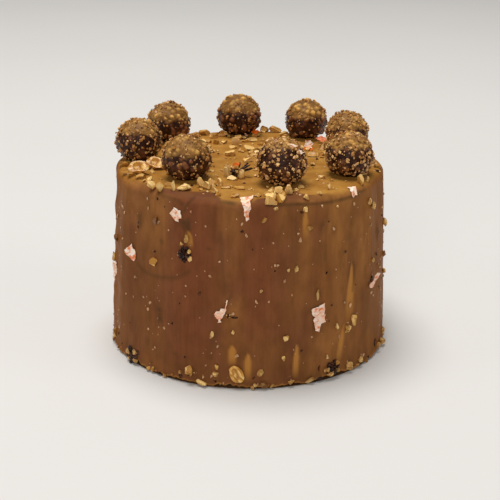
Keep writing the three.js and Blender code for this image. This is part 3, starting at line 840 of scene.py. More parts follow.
def makeChunks(count, name, detail, cuts, seed):
    # broken pieces of nut, 1 across: rounded and skinned on one side, cut flat and pale on the others
    chunks = []
    for i in range(count):
        draw = random.Random(seed + i)
        bpy.ops.mesh.primitive_ico_sphere_add(subdivisions=detail, radius=0.5, location=(0, 0, 0))
        chunk = bpy.context.object
        chunk.name = "%s%d" % (name, i)
        startEditing(chunk)
        for cut in range(cuts):
            facing = Vector((draw.uniform(-1, 1), draw.uniform(-1, 1), draw.uniform(-1, 1))).normalized()
            cutAcross(facing * draw.uniform(*chop["cutAt"]), facing, clear_outer=True, use_fill=True)
        bpy.ops.mesh.select_all(action="SELECT")
        bpy.ops.mesh.remove_doubles(threshold=chop["weld"])
        if detail > 1 and i % 2 == 0:  # some broken faces are hollow
            pick(chunk, "FACE", lambda f: len(f.verts) > 5 and f.calc_area() > 0.06)
            bpy.ops.mesh.inset(thickness=0.07, depth=-chop["dent"], use_individual=True)
        bpy.ops.mesh.select_all(action="SELECT")
        bpy.ops.mesh.vertices_smooth(factor=0.2, repeat=1)
        stopEditing()
        for vertex in chunk.data.vertices:
            vertex.co += chop["uneven"] * noise.noise_vector(vertex.co * 3 + Vector((seed, i, 0)))
            vertex.co += chop["rough"] * noise.noise_vector(vertex.co * 9 + Vector((seed, i, 5)))
        bpy.ops.object.shade_smooth_by_angle(angle=math.radians(chop["crease"]))
        skin = [int(face.area <= chop["skinArea"] and len(face.vertices) < 5) for face in chunk.data.polygons]
        setAttribute(chunk.data, "skin", skin, "FACE")
        # a tone for each face, at random by its facing: the nut's own unevenness, with painted light and shade
        # between facets
        facet = [0.5 + noise.noise(face.normal * 1.4 + Vector((i, 0, seed))) for face in chunk.data.polygons]
        setAttribute(chunk.data, "facet", facet, "FACE")
        chunks.append(chunk)
    return chunks


def clearOfBalls(spot, reach):
    return all((ballCentre(place) - spot).length > place[2] + reach for place in ballPlaces)


def scatterNuts(chunks):
    draw = random.Random(chop["seed"])
    pieces = []

    def lay(seat, width, length, depth, tone, coat):
        width, length, depth = width * mm, length * mm, depth * mm
        if clearOfBalls(seat.translation, max(width, length) * 0.3):
            model = draw.choice(chunks)
            size = (width, length, depth / (1 - chop["sink"]))
            place = seat @ fitTo(model, tumbled(draw), size, chop["sink"])
            layCopy(pieces, model, place, tone, coat, seat, depth)

    def layDrawn(seat, wide, ranges):
        length, depth, tone, coat = [draw.uniform(*r) if isinstance(r, tuple) else r for r in ranges]
        lay(seat, wide, wide * length, wide * depth, tone, coat)

    for around, height, width, length, tone, coat in sideNuts:
        lay(sideSeat(around, height), width, length, 0.75 * min(width, length), tone, coat)
    for x, y, width, length, depth, tone, coat in topNuts:
        lay(topSeat(x, y), width, length, depth, tone, coat)
    number, width, *ranges = chop["hiddenOnSide"]
    for i in range(number):
        around = 5 + 170 * (i + 0.8 * draw.random()) / number
        height = 14 + 90 * draw.random() if i % 3 == 0 else 4 + 7 * draw.random()
        layDrawn(sideSeat(around, height), draw.uniform(*width), ranges)
    back, rim = chop["coatedFrom"]
    number, width, *ranges = chop["coatedOnTop"]
    for i in range(number):  # lumps that the glaze has covered, most of them at the back
        angle = draw.uniform(0, fullTurn)
        out = chop["looseReach"] * mm * math.sqrt(draw.random())
        wide = draw.uniform(*width)
        if math.sin(angle) * out > back * mm or out > rim * mm:
            layDrawn(topSeatAt(angle, out), wide, ranges)
    number, width, *ranges = chop["bareOnTop"]
    for i in range(number):
        angle = goldenTurn * i + 0.5 * draw.random()
        out = chop["topReach"] * mm * math.sqrt((i + 0.5) / number)
        share = chop["frontShare"] if math.sin(angle) * out < chop["cleanFront"] * mm else 1
        layDrawn(topSeatAt(angle, out), draw.uniform(*width) * share, ranges)
    number, width, *ranges = chop["crumbsOnTop"]
    for i in range(number):
        angle, out = draw.uniform(0, fullTurn), draw.uniform(8, chop["looseReach"]) * mm
        layDrawn(topSeatAt(angle, out), draw.uniform(*width), ranges)
    number, width, *ranges = chop["atFoot"]
    for i in range(number):
        around, wide = draw.uniform(0, 360), draw.uniform(*width)
        if i % 3 and abs(turnBetween(around, -90)) < 75:  # the front of the foot has fewer
            continue
        layDrawn(sideSeat(around, 1 + 7 * draw.random() ** 1.5), wide, ranges)
    return joinAll(pieces, "choppedHazelnuts")


half = {  # lengths as shares of the nut's width
    "cut": 0.1,
    "rings": ((0.15, -0.02, 1), (0.06, 0.07, 0.95), (0.06, 0.09, 0.8), (0.08, 0.04, 0.7)),  # inset, drop, narrowing
    "thick": 0.62,
    "blunt": 0.35,
    "wobble": 0.12,
    "crease": 50,  # degrees, as is the tilt
    "topTilt": 32,
    "tone": 0.62,
    "topTone": 0.78,
}


def makeHalfNut():
    # half a hazelnut, 1 wide and 1 long, cut face up with a shallow hollow in it
    bpy.ops.mesh.primitive_uv_sphere_add(segments=28, ring_count=16, radius=0.5, location=(0, 0, 0))
    nut = bpy.context.object
    nut.name = "halfNut"
    startEditing(nut)
    cutAcross((0, 0, half["cut"]), (0, 0, 1), clear_outer=True, use_fill=True)
    pick(nut, "FACE", lambda f: f.calc_center_median().z > 0.99 * half["cut"] and len(f.verts) > 4)
    for thickness, drop, narrow in half["rings"]:
        bpy.ops.mesh.inset(thickness=thickness)
        bpy.ops.transform.translate(value=(0, 0, -drop))
        bpy.ops.transform.resize(value=(narrow, 1, 1), center_override=(0, 0, 0))
    bpy.ops.mesh.poke()
    stopEditing()
    for vertex in nut.data.vertices:
        vertex.co.x *= 1 - half["blunt"] * vertex.co.y  # one end is blunt
        vertex.co += half["wobble"] * noise.noise_vector(vertex.co * 3.1)
    # the hollow is painted browner, as painted shade; the rounded outside carries the brown skin
    hollow = [1 if face.normal.z > 0 and face.center.z < half["cut"] / 2 else 0 for face in nut.data.polygons]
    rounded = [1 if face.normal.z < 0.1 else 0 for face in nut.data.polygons]
    setAttribute(nut.data, "skin", [max(0.8 * a, 0.6 * b) for a, b in zip(hollow, rounded)], "FACE")
    # a tone for each face at random: the nut's own unevenness, with painted light and shade between facets
    facet = [0.5 + 0.8 * noise.noise(face.center * 5) for face in nut.data.polygons]
    setAttribute(nut.data, "facet", facet, "FACE")
    bpy.ops.object.shade_smooth_by_angle(angle=math.radians(half["crease"]))
    return nut


def layHalves(model):
    pieces = []
    seats = [(sideSeat(around, height), *rest, 0) for around, height, *rest in sideHalves]
    seats += [(topSeat(x, y), *rest, half["topTilt"]) for x, y, *rest in topHalves]
    for seat, width, length, turn, tilt in seats:
        size = Matrix.Diagonal((width * mm, length * mm, half["thick"] * width * mm, 1))
        lift = (0.22 * width + 0.42 * math.sin(math.radians(tilt)) * length) * mm
        place = seat @ Matrix.Translation((0, 0, lift)) @ turned(tilt, "X") @ turned(turn, "Z") @ size
        layCopy(pieces, model, place, half["topTone"] if tilt else half["tone"], 0, seat, 0.3 * width * mm)
    return joinAll(pieces, "halvedHazelnuts")


def makeNutMaterial(name, cream, gold, brown, coatLow, coatHigh, roughness):
    material, tree, shader = newMaterial(name, {
        "Roughness": roughness, "Specular IOR Level": 0.28, "Subsurface Weight": 0.06, "Subsurface Scale": 0.0015,
        "Subsurface Radius": (1, 0.6, 0.3),
    })
    tone, facet = readAttribute(tree, "tone"), readAttribute(tree, "facet")
    level = addNode(tree, "SeparateXYZ", {0: addNode(tree, "TexCoord").outputs["Object"]}).outputs["Z"]
    # the glaze on a nut is lighter on the top, as the glaze of the top is: partly its own tone and partly painted
    # light from above
    coating = mixColour(tree, spread(tree, level, 0.112, 0.117), coatLow, coatHigh)  # lighter on the top
    colour = layOver(
        tree, mixColour(tree, spread(tree, tone, 0, 0.7), cream, gold),
        (spread(tree, tone, 0.6, 1), 1, brown),
        ("skin", 0.55, brown),
        (patches(tree, 0.003, 0.36, 0.66), 0.3, gold),
        # painted shade: faces turned sideways are painted a deeper gold than those facing up
        (facingUp(tree, 0.1, 0.8, 0.3, 0), 1, gold),  # sideways faces are a little deeper
        # random facet tones, browner or paler: partly the nut's own and partly painted light and shade
        (spread(tree, facet, 0.5, 0.8, 0, 0.55), 1, brown),
        (spread(tree, facet, 0.45, 0.2, 0, 0.6), 1, cream),
        ("coat", 1, coating))
    finishLook(tree, shader, colour, grain(tree, 0.0011, detail=5), 0.6, 0.4 * mm)
    return material


chunks = makeChunks(chop["shapes"], "chunk", 2, 4, chop["shapeSeed"])
hazelnut = makeNutMaterial("choppedHazelnut", paint(255, 220, 146), paint(216, 154, 62), paint(146, 88, 20),
                           paint(120, 74, 32), paint(172, 118, 46), 0.28)
choppedHazelnuts = scatterNuts(chunks)
halfModel = makeHalfNut()
halvedHazelnuts = layHalves(halfModel)
for piece in (choppedHazelnuts, halvedHazelnuts):
    dress(piece, hazelnut, "cake")
print("hazelnuts:", len(choppedHazelnuts.data.polygons), "faces")


# fine specks of nut all over the side, and dark dots

speck = {
    "shapes": 8,
    "shapeSeed": 500,
    "nuts": {"seed": 21, "onSide": 460, "onTop": 110, "size": (0.5, 1.9), "atFoot": 0.1},  # size in millimetres
    "dots": {"seed": 22, "onSide": 80, "onTop": 16, "size": (0.6, 2.0), "atFoot": 0.45},
    "topReach": 80 * mm,
}


def sprinkle(models, kind, name):
    draw = random.Random(kind["seed"])
    pieces = []
    for i in range(kind["onSide"] + kind["onTop"]):
        if i < kind["onSide"]:
            height = 1 + 7 * draw.random() if draw.random() < kind["atFoot"] else 3 + 110 * draw.random()
            seat = sideSeat(draw.uniform(0, 360), height)
        else:
            seat = topSeatAt(draw.uniform(0, fullTurn), speck["topReach"] * math.sqrt(draw.random()))
        smallest, largest = kind["size"]
        across = (smallest + (largest - smallest) * draw.random() ** 2.2) * mm
        size = (across, across * draw.uniform(0.9, 1.9), across * 0.6)
        turn = Matrix.Rotation(draw.uniform(-0.8, 0.8), 4, "Z")
        tone = 0.5 * draw.random()
        model = draw.choice(models)
        if clearOfBalls(seat.translation, 0):
            place = seat @ turn @ fitTo(model, tumbled(draw), size, 0.3)
            layCopy(pieces, model, place, tone, 0.3 * draw.random())
    return joinAll(pieces, name)


crumbs = makeChunks(speck["shapes"], "crumb", 1, 3, speck["shapeSeed"])
nutSpecks = sprinkle(crumbs, speck["nuts"], "nutSpecks")
# dark dots: partly toasted crumbs and partly painted shade of small pits
darkDots = sprinkle(crumbs, speck["dots"], "darkDots")


# clumps of dark toasted crumbs

clump = {
    "seed": 77,
    "crumbs": 16,
    "golden": 3,
    "turn": 2.4,  # radians from one crumb to the next
    "reach": 0.38,  # how far out the crumbs lie, as a share of the clump
    "width": (0.24, 0.42),  # of a crumb, as a share of the clump
    "length": (0.7, 1.3),  # and of the crumb's width
    "tone": (0.1, 0.7),
    "footCoat": 0.45,  # the clumps at the foot are half glazed over
    "spikeTilt": -22,
}


def layClumps(chunks):
    draw = random.Random(clump["seed"])
    dark, golden = [], []
    seats = [(sideSeat(around, height), size) for around, height, size in sideClumps]
    seats += [(topSeat(x, y, 0.8 * core), size) for x, y, size, core in topClumps]
    for seat, size in seats:
        coat = clump["footCoat"] if seat.translation.z < 20 * mm else 0
        for i in range(clump["crumbs"] + clump["golden"]):
            turn = clump["turn"] * i + draw.uniform(-0.3, 0.3)
            out = clump["reach"] * size * mm * math.sqrt((i + 0.4) / clump["crumbs"])
            wide = size * draw.uniform(*clump["width"]) * mm
            spot = Matrix.Translation((out * math.cos(turn), 1.15 * out * math.sin(turn), 0))
            model = draw.choice(chunks)
            spin = tumbled(draw)
            place = fitTo(model, spin, (wide, wide * draw.uniform(*clump["length"]), wide * 0.75), 0.2)
            target = dark if i < clump["crumbs"] else golden
            layCopy(target, model, seat @ spot @ place, draw.uniform(*clump["tone"]), coat)
    for x, y, size, core in topClumps:
        if core:
            place = fitTo(chunks[0], tumbled(draw), (0.7 * size * mm, 0.7 * size * mm, core * mm), 0.1)
            layCopy(dark, chunks[0], topSeat(x, y) @ place)
    for x, y, height, length, turn in darkSpikes:
        model = draw.choice(chunks)
        place = fitTo(model, tumbled(draw), (length * mm, 1.6 * mm, 1.4 * mm), 0.5)
        layCopy(dark, model, topSeat(x, y, height) @ turned(turn, "Z") @ turned(clump["spikeTilt"], "Y") @ place)
    for around, height, width, length in darkMarks:
        model = draw.choice(chunks)
        place = fitTo(model, tumbled(draw), (width * mm, length * mm, 0.6 * mm + 0.3 * width * mm), 0.45)
        layCopy(dark, model, sideSeat(around, height) @ place)
    return joinAll(dark, "toastedCrumbs"), joinAll(golden, "goldenCrumbs")


def makeCrumbMaterial():
    material, tree, shader = newMaterial("toastedCrumb", {"Roughness": 0.26, "Specular IOR Level": 0.2})
    colour = mixColour(tree, patches(tree, 0.002, 0.45, 0.7), paint(34, 14, 8), paint(98, 54, 28))
    finishLook(tree, shader, colour, grain(tree, 0.001, detail=4), 0.8, 0.6 * mm)
    return material


toastedCrumbs, goldenCrumbs = layClumps(chunks)
toastedCrumb = makeCrumbMaterial()
glazedSpeck = makeNutMaterial("glazedSpeck", paint(226, 184, 138), paint(196, 142, 96), paint(140, 88, 54),
                              paint(118, 76, 46), paint(170, 118, 48), 0.4)
for piece, material, slot in (
    (nutSpecks, glazedSpeck, "hazelnut"), (darkDots, toastedCrumb, "toasted_crumb"),
    (toastedCrumbs, toastedCrumb, "toasted_crumb"), (goldenCrumbs, hazelnut, "hazelnut"),
):
    dress(piece, material, "cake")
print("crumbs and specks laid")


# copper leaf

leaf = {
    "cell": 0.6 * mm, "wrinkle": 0.55 * mm, "ragged": 0.4 * mm, "thickness": 0.12 * mm, "lift": 0.3 * mm,
    "curl": 0.8 * mm, "crease": 30, "ballSink": 0.7 * mm,  # how far under the crust the leaf on a ball begins
}
leafOutlines = {  # corners in a box 1 wide and 1 high
    "diamond": [(-0.5, -0.02), (-0.26, 0.24), (-0.1, 0.5), (0.1, 0.32), (0.36, 0.3), (0.42, 0.06), (0.5, -0.16),
                (0.24, -0.26), (0.2, -0.5), (-0.02, -0.4), (-0.22, -0.26)],
    "fin": [(0.12, 0.5), (0.24, 0.26), (0.47, 0), (0.5, -0.26), (0.4, -0.5), (0.14, -0.42), (-0.14, -0.3),
            (-0.46, -0.17), (-0.5, -0.04), (-0.27, 0.17), (-0.08, 0.3)],
    "torn": [(-0.5, 0.4), (-0.1, 0.42), (0.5, 0.5), (0.46, 0.3), (0.26, 0.16), (0.32, -0.06), (0.16, -0.26),
             (0.2, -0.44), (0, -0.5), (-0.14, -0.3), (-0.24, 0), (-0.42, 0.16)],
    "hook": [(-0.5, -0.15), (-0.3, 0), (-0.05, 0), (0, 0.12), (0.28, 0.1), (0.44, 0.5), (0.5, 0.5), (0.38, 0.05),
             (0.3, -0.1), (0.1, -0.3), (-0.02, -0.37), (0.06, -0.47), (-0.2, -0.5), (-0.16, -0.38), (-0.3, -0.32)],
    "flag": [(-0.5, 0.31), (-0.47, 0.36), (0, 0.4), (0.1, 0.44), (0.43, 0.5), (0.43, 0.28), (0.5, -0.18),
             (0.2, -0.23), (0.04, -0.5), (-0.2, -0.44), (-0.27, -0.23), (-0.37, -0.03), (-0.24, 0.05), (-0.43, 0.13)],
    "bow": [(-0.5, -0.2), (-0.3, -0.08), (-0.08, 0), (0.1, 0.35), (0.3, 0.5), (0.5, 0.4), (0.45, 0.1), (0.2, -0.05),
            (0, -0.25), (-0.15, -0.5), (-0.38, -0.44)],
    "strip": [(-0.5, 0.1), (-0.1, 0.3), (0.5, 0.5), (0.4, 0.1), (0.1, -0.1), (-0.2, -0.5)],
}
sideLeaves = [  # outline, around, height, width, length, turn, how far the right edge stands off in degrees, warmth
    ("diamond", -119.9, 105.3, 8.8, 8.8, 0, 0, 0), ("fin", -145, 73.4, 9.4, 10.8, 0, -12, 0),
    ("torn", -91, 114, 8, 17, 0, 0, 0.1), ("hook", -100.5, 49.6, 7.8, 14.6, 0, 0, 0.1),
    ("flag", -61.8, 42.4, 8.8, 17.8, 0, 5, 0.12), ("bow", -29.6, 53.6, 10.2, 8.8, 0, 18, 0.2),
    ("flag", -165, 51, 6.4, 12.4, 0, -16, 0.1), ("flag", -42.9, 115.5, 6.4, 8, -30, 0, 0),
    ("flag", 34, 70, 7, 12, 15, 0, 0.1), ("torn", 72, 36, 7.4, 9, 160, 0, 0),
    ("diamond", 105, 92, 8, 11, 40, 8, 0.1), ("fin", 148, 60, 6.6, 13, -12, 0, 0),
]
topLeaves = [  # outline, x, y, lift, width, length, turn, how far it stands up in degrees, warmth
    ("diamond", 38.9, 33.5, 0, 6.2, 6.6, 24, 68, 0), ("diamond", 48.6, 50, 0.6, 8.6, 5.4, -10, 40, 0.85),
    ("diamond", 3.4, 65, 2.2, 6, 4.2, 10, 45, 1), ("hook", -3.2, 63, 1, 4.6, 3.6, 80, 20, 0.3),
    ("diamond", -8, -34, 6.6, 5.4, 2.8, 10, 30, 1), ("strip", 36.2, 29, 0, 3.8, 3, 0, 40, 1),
    ("strip", 41, 28, 0, 3.4, 2.6, 40, 30, 1),
]
ballLeaves = [  # ball, outline, direction of its middle (x, y, z), width, length, turn
    (7, "strip", (0.42, -0.42, 0.8), 7.6, 3.6, -32), (7, "torn", (0.72, -0.42, 0.55), 5.4, 3, -50),
    (7, "diamond", (0.9, -0.42, 0.05), 2.6, 4.4, 10),
]


def addLeafSheet(name, outline, width, length, turn):
    # a flat torn sheet cut into cells, lying at the origin
    corners = [Vector((x * width * mm, y * length * mm, 0)) for x, y in leafOutlines[outline]]
    data = bpy.data.meshes.new(name)
    data.from_pydata(corners, [], [range(len(corners))])
    sheet = bpy.data.objects.new(name, data)
    bpy.context.scene.collection.objects.link(sheet)
    startEditing(sheet)
    for along, reach in (((1, 0, 0), width / 2 * mm), ((0, 1, 0), length / 2 * mm)):
        place = -reach + leaf["cell"]
        while place < reach:
            cutAcross(Vector(along) * place, along)
            place += leaf["cell"]
    stopEditing()
    sheet.data.transform(turned(turn, "Z"))
    return sheet


def leafNoise(x, y, wide, tall, shift):
    # noise over a sheet, in patches this wide and tall in millimetres
    return noiseAt(x / wide, y / tall, shift)


def crumple(sheet, seed, warmth=0):
    # creases across the sheet, ragged edges that curl away from the glaze
    reach = max(vertex.co.length for vertex in sheet.data.vertices)
    creases = []
    for vertex in sheet.data.vertices:
        x, y, z = vertex.co / mm
        crease = max(0, 1 - abs(leafNoise(x, y, 5.2, 2.1, seed)) * 3)
        curl = (vertex.co.length / reach) ** 3 * (0.6 + leafNoise(x, y, 3, 3, seed + 9))
        vertex.co.x += leaf["ragged"] * leafNoise(x, y, 1.1, 1.1, seed + 3)
        vertex.co.y += leaf["ragged"] * leafNoise(x, y, 1.1, 1.1, seed + 5)
        vertex.co.z = leaf["lift"] + leaf["wrinkle"] * (crease - 0.2) + leaf["curl"] * curl
        patch = 0.5 + leafNoise(x, y, 2.4, 2.4, seed + 20)
        creases.append(smoothStep(0.38, 0.9, crease) * smoothStep(0.3, 0.65, patch))
    setAttribute(sheet.data, "crease", creases)
    setAttribute(sheet.data, "warm", [warmth] * len(creases))


def layLeaves():
    sheets = []
    for i, (outline, around, height, width, length, turn, swing, warmth) in enumerate(sideLeaves):
        sheet = addLeafSheet("leafSheet", outline, width, length, turn)
        crumple(sheet, i, warmth)
        off = math.tan(math.radians(abs(swing)))
        for vertex in sheet.data.vertices:  # bend it round the side and over the rim
            x, y, z = vertex.co
            z += off * (width / 2 * mm + (x if swing > 0 else -x))
            angle = math.radians(around) + x / cake["topRadius"]
            up = height * mm + y
            over = max(0, up - cake["height"] + cake["edgeRound"])
            turnIn = min(math.pi / 2, over / cake["edgeRound"])
            past = max(0, over - cake["edgeRound"] * math.pi / 2)  # lies flat on the top
            inward = cake["edgeRound"] * (1 - math.cos(turnIn)) + past
            level = min(up, cake["height"] - cake["edgeRound"]) + cake["edgeRound"] * math.sin(turnIn)
            out = sideRadius(angle, min(level, cake["height"])) - inward + z * math.cos(turnIn)
            vertex.co = polar(angle, out, level + z * math.sin(turnIn))
        tuckIn(sheet)
        sheets.append(sheet)
    for i, (outline, x, y, lift, width, length, turn, standing, warmth) in enumerate(topLeaves):
        sheet = addLeafSheet("leafSheet", outline, width, length, turn)
        crumple(sheet, 40 + i, warmth)
        seat = topSeat(x, y, lift + 0.5 * math.sin(math.radians(standing)) * length + 0.2)
        sheet.data.transform(seat @ turned(standing, "X"))
        sheets.append(sheet)
    return joinAll(sheets, "copperLeaf")


def layBallLeaves():
    sheets = []
    for i, (number, outline, towards, width, length, turn) in enumerate(ballLeaves):
        sheet = addLeafSheet("leafSheet", outline, width, length, turn)
        crumple(sheet, 60 + i)
        place = ballPlaces[number - 1]
        face = Vector(towards).to_track_quat("Z", "Y").to_matrix().to_4x4()
        radius = place[2] - leaf["ballSink"]
        for vertex in sheet.data.vertices:  # bend it round the ball
            vertex.co.z += math.sqrt(radius ** 2 - vertex.co.x ** 2 - vertex.co.y ** 2)
        sheet.data.transform(Matrix.Translation(ballCentre(place)) @ face)
        sheets.append(sheet)
    return joinAll(sheets, "ballLeaf")


def thickenLeaf(sheet):
    thick = sheet.modifiers.new("thickness", "SOLIDIFY")
    thick.thickness = leaf["thickness"]
    thick.offset = 0
    makeActive(sheet)
    bpy.ops.object.modifier_apply(modifier=thick.name)
    bpy.ops.object.shade_smooth_by_angle(angle=math.radians(leaf["crease"]))


def makeLeafMaterial():
    look = {"Roughness": 0.45, "Metallic": 0.1, "Specular IOR Level": 0.12}
    material, tree, shader = newMaterial("copperLeafFoil", look)
    pink = patches(tree, 0.0036, 0.42, 0.62, detail=2)
    colour = layOver(
        # a pale pink-white base: partly the foil's own colour and partly painted reflection, standing for the shine
        # of the foil
        tree, mixColour(tree, pink, paint(254, 238, 220), paint(250, 204, 172)),
        # orange along the creases: partly the copper's own colour and partly painted shade in the folds
        ("crease", 1, paint(230, 122, 62)), ("warm", 1, paint(200, 88, 0)))
    finishLook(tree, shader, colour, grain(tree, 0.0011, detail=5), 0.5, 0.3 * mm)
    return material


copperLeaf = layLeaves()
ballLeaf = layBallLeaves()
copperFoil = makeLeafMaterial()
for piece, node in ((copperLeaf, "cake"), (ballLeaf, "nut_ball_7")):
    thickenLeaf(piece)
    dress(piece, copperFoil, node)
print("copper leaf:", len(copperLeaf.data.polygons), "faces")


# nut-crusted chocolate balls

crust = {
    "cell": 3.2 * mm,  # distance between lumps
    "grit": 1.25 * mm,
    "lump": 1.3 * mm,
    "lumpReach": 0.64,  # half width of a lump, as a share of a cell; the same for the grit
    "gritReach": 0.6,
    "base": 0.5 * mm,  # how far the coating stands out from the smooth foot
    "knobs": 0.8,  # how much taller the lumps are where few bits of nut show
    "chips": 540,  # places for bits of nut on each ball
    "chipSeed": 300,
    "chipShare": 0.45,  # how many places hold a bit where few show
    "chipLength": (0.8, 1.6),
    "chipLift": (0.1, 0.6),  # millimetres over the coating
    "capFade": 0.1,
    "capRagged": (0.16, 0.12),  # broad and fine
    "footFade": 14,  # degrees
}


def crustRise(point):
    # 0 on the smooth foot of a ball, 1 above it
    fromFoot = math.degrees(math.acos(max(-1, min(1, -point.normalized().z))))
    return smoothStep(ballSet["smoothFoot"], ballSet["smoothFoot"] + crust["footFade"], fromFoot)


def capShare(number, place, out):
    # 1 on the pale cap of a ball, partly dusted and partly painted light from above, 0 on the dark chocolate below
    broad, fine = crust["capRagged"]
    ragged = broad * noise.noise(out * 2.4 + Vector((number, 0, 0))) + fine * noise.noise(out * 7)
    return smoothStep(place[3] - crust["capFade"], place[3] + crust["capFade"], out.z + ragged)


def addBall(number, place):
    centre = ballCentre(place)
    radius = place[2] - ballSet["crust"]
    bpy.ops.mesh.primitive_ico_sphere_add(subdivisions=6, radius=radius, location=(0, 0, 0))
    ball = bpy.context.object
    ball.name = "chocolateBall%d" % number
    lifts, caps = [], []
    knobs = 1 + crust["knobs"] * max(0, 1 - 3 * place[4])
    for vertex in ball.data.vertices:
        out = vertex.co.normalized()
        cell = vertex.co / crust["cell"] + Vector((0, 0, 17.3 * number))
        nearest, spots = noise.voronoi(cell)
        tall = 0.9 * abs(noise.noise(spots[0] * 3.7)) * 2
        lump = tall * max(0, 1 - (nearest[0] / crust["lumpReach"]) ** 2)
        nearGrit, gritSpots = noise.voronoi(vertex.co / crust["grit"] + Vector((3, 0, number)))
        grit = max(0, noise.noise(gritSpots[0] * 2.3)) * max(0, 1 - (nearGrit[0] / crust["gritReach"]) ** 2)
        broad = 0.35 * noise.noise(vertex.co / mm / 6 + Vector((number, 0, 0)))
        cap = capShare(number, place, out)
        rise = crustRise(vertex.co)
        lift = rise * min(1.25, max(0, lump * knobs * 0.9 + 0.8 * grit / knobs + broad))
        # the lift also sets the colour, more so on the cap of a pale ball, as painted light
        lifts.append(lift + 0.3 * cap * place[4])
        caps.append(cap)
        vertex.co += out * (crust["base"] * rise + crust["lump"] * lift)
        vertex.co.z = min(vertex.co.z, cadBox[1][2] - centre.z)
    setAttribute(ball.data, "lift", lifts)
    setAttribute(ball.data, "cap", caps)
    ball.data.transform(Matrix.Translation(centre))
    bpy.ops.object.shade_smooth()
    return ball


def addChips(number, place, chunks):
    # bits of nut stuck in the chocolate, glazed over on the cap and bare below
    draw = random.Random(crust["chipSeed"] + number)
    centre = ballCentre(place)
    radius = place[2] - ballSet["crust"]
    pale = place[4]
    pieces = []
    for i in range(crust["chips"]):
        level = 1 - 2 * (i + 0.5) / crust["chips"]
        turn = goldenTurn * i + draw.uniform(-0.5, 0.5)
        out = polar(turn, math.sqrt(1 - level ** 2), level)
        cap = capShare(number, place, out)
        if crustRise(out) < 0.6 or draw.random() > crust["chipShare"] + pale:
            continue
        wide = (0.7 + (1.2 + 0.7 * pale) * draw.random() ** 2.2) * mm
        long = wide * draw.uniform(*crust["chipLength"])
        face = out.to_track_quat("Z", "Y").to_matrix().to_4x4()
        flat = Matrix.Rotation(draw.uniform(0, fullTurn), 4, "Z")
        reach = radius + crust["base"] + draw.uniform(*crust["chipLift"]) * mm
        spot = Matrix.Translation(centre + out * reach)
        model = draw.choice(chunks)
        seat = spot @ face @ flat @ fitTo(model, tumbled(draw), (wide, long, 0.8 * wide), 0.2)
        tone = draw.random() ** (0.5 + pale)
        bare = draw.random() < 0.15 + 0.8 * pale * (1 - 0.3 * cap)
        layCopy(pieces, model, seat, tone, draw.uniform(0, 0.2) if bare else draw.uniform(0.45, 1))
    return joinAll(pieces, "ballChips%d" % number)


def makeBallMaterial():
    material, tree, shader = newMaterial("coatingChocolate", {"Roughness": 0.3, "Specular IOR Level": 0.14})
    lift, cap = readAttribute(tree, "lift"), readAttribute(tree, "cap")
    # painted shade and light: dark in the crevices, lighter the farther the crust stands out
    under = mixColour(tree, spread(tree, lift, 0.05, 0.8), paint(48, 24, 13), paint(142, 88, 54))
    # the pale cap: partly dusted and partly painted light from above
    over = mixColour(tree, lift, paint(122, 81, 36), paint(220, 166, 84))
    colour = layOver(tree, under, (cap, 1, over), (patches(tree, 0.003, 0.4, 0.7), 0.35, paint(84, 50, 32)))
    tree.links.new(spread(tree, cap, 0, 1, 0.28, 0.5), shader.inputs["Roughness"])
    finishLook(tree, shader, colour, grain(tree, 0.0013, detail=5), 0.8, 0.6 * mm)
    return material


coatingChocolate = makeBallMaterial()
crustNut = makeNutMaterial("crustHazelnut", paint(250, 208, 142), paint(210, 150, 76), paint(124, 70, 26),
                           paint(118, 70, 38), paint(166, 112, 54), 0.24)
for number, place in enumerate(ballPlaces, start=1):
    node = "nut_ball_%d" % number
    dress(addBall(number, place), coatingChocolate, node)
    dress(addChips(number, place, crumbs), crustNut, node)
print("balls:", len(ballPlaces))

for model in chunks + crumbs + [halfModel]:
    bpy.data.objects.remove(model)


# floor, light and camera

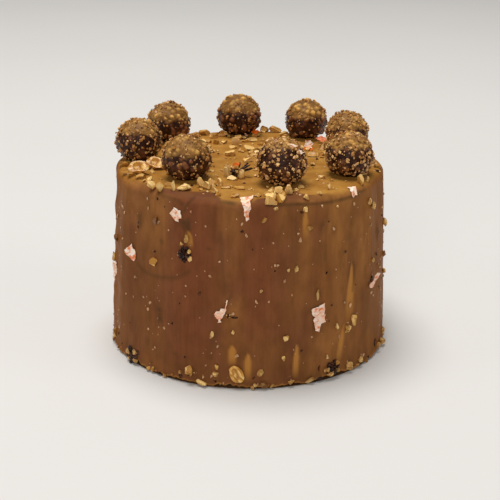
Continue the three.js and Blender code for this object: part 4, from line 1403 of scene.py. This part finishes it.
studio = {
    "floorSize": 24,
    "floorTone": paint(222, 219, 214),
    "floorShade": paint(216, 213, 209),
    "worldTone": paint(238, 236, 232),
    "worldStrength": 0.2,
}
lamps = [  # name, place, aim height, size, watts
    ("overhead", (-0.3, 0.3, 3.0), 0.1, 1.8, 84),
    ("front", (-0.6, -2.7, 1.5), 0.06, 1.4, 25),
    ("left", (-2.2, -0.6, 1.1), 0.06, 1.0, 4),
    ("right", (2.2, -0.6, 1.1), 0.06, 1.0, 6),
]
view = {  # fitted to the outlines of the cake in the photograph
    "place": Vector((0.77, -720.3, 314.6)) * mm,
    "aim": Vector((0.77, 0, 57.0)) * mm,
    "roll": 0.62,
    "focal": 1163,  # in pixels of a frame 500 wide
    "frame": 500,
}


def aimed(place, aim):
    return (Vector(aim) - Vector(place)).to_track_quat("-Z", "Y")


def addStudio():
    bpy.ops.mesh.primitive_plane_add(size=studio["floorSize"], location=(0, 0, 0))
    floor = bpy.context.object
    floor.name = "paleFloor"
    material, tree, shader = newMaterial("palePaper", {"Roughness": 0.8, "Specular IOR Level": 0.2})
    cloth = mixColour(tree, grain(tree, 0.4, detail=2), studio["floorTone"], studio["floorShade"])
    tree.links.new(cloth, shader.inputs["Base Color"])
    floor.data.materials.append(material)

    world = bpy.data.worlds.new("softRoom")
    world.use_nodes = True
    background = world.node_tree.nodes["Background"]
    background.inputs["Color"].default_value = studio["worldTone"]
    background.inputs["Strength"].default_value = studio["worldStrength"]
    bpy.context.scene.world = world

    for name, place, aim, size, watts in lamps:
        bpy.ops.object.light_add(type="AREA", location=place)
        lamp = bpy.context.object
        lamp.name = name
        lamp.data.shape = "DISK"
        lamp.data.size = size
        lamp.data.energy = watts
        lamp.rotation_euler = aimed(place, (0, 0, aim)).to_euler()


def addCamera():
    bpy.ops.object.camera_add(location=view["place"])
    camera = bpy.context.object
    facing = aimed(view["place"], view["aim"]).to_matrix()
    camera.rotation_euler = (facing @ Matrix.Rotation(math.radians(view["roll"]), 3, "Z")).to_euler()
    camera.data.lens = view["focal"] / view["frame"] * camera.data.sensor_width
    camera.data.clip_end = 30
    bpy.context.scene.camera = camera


addStudio()
addCamera()
bpy.context.scene.view_settings.view_transform = "Standard"
print("studio ready")
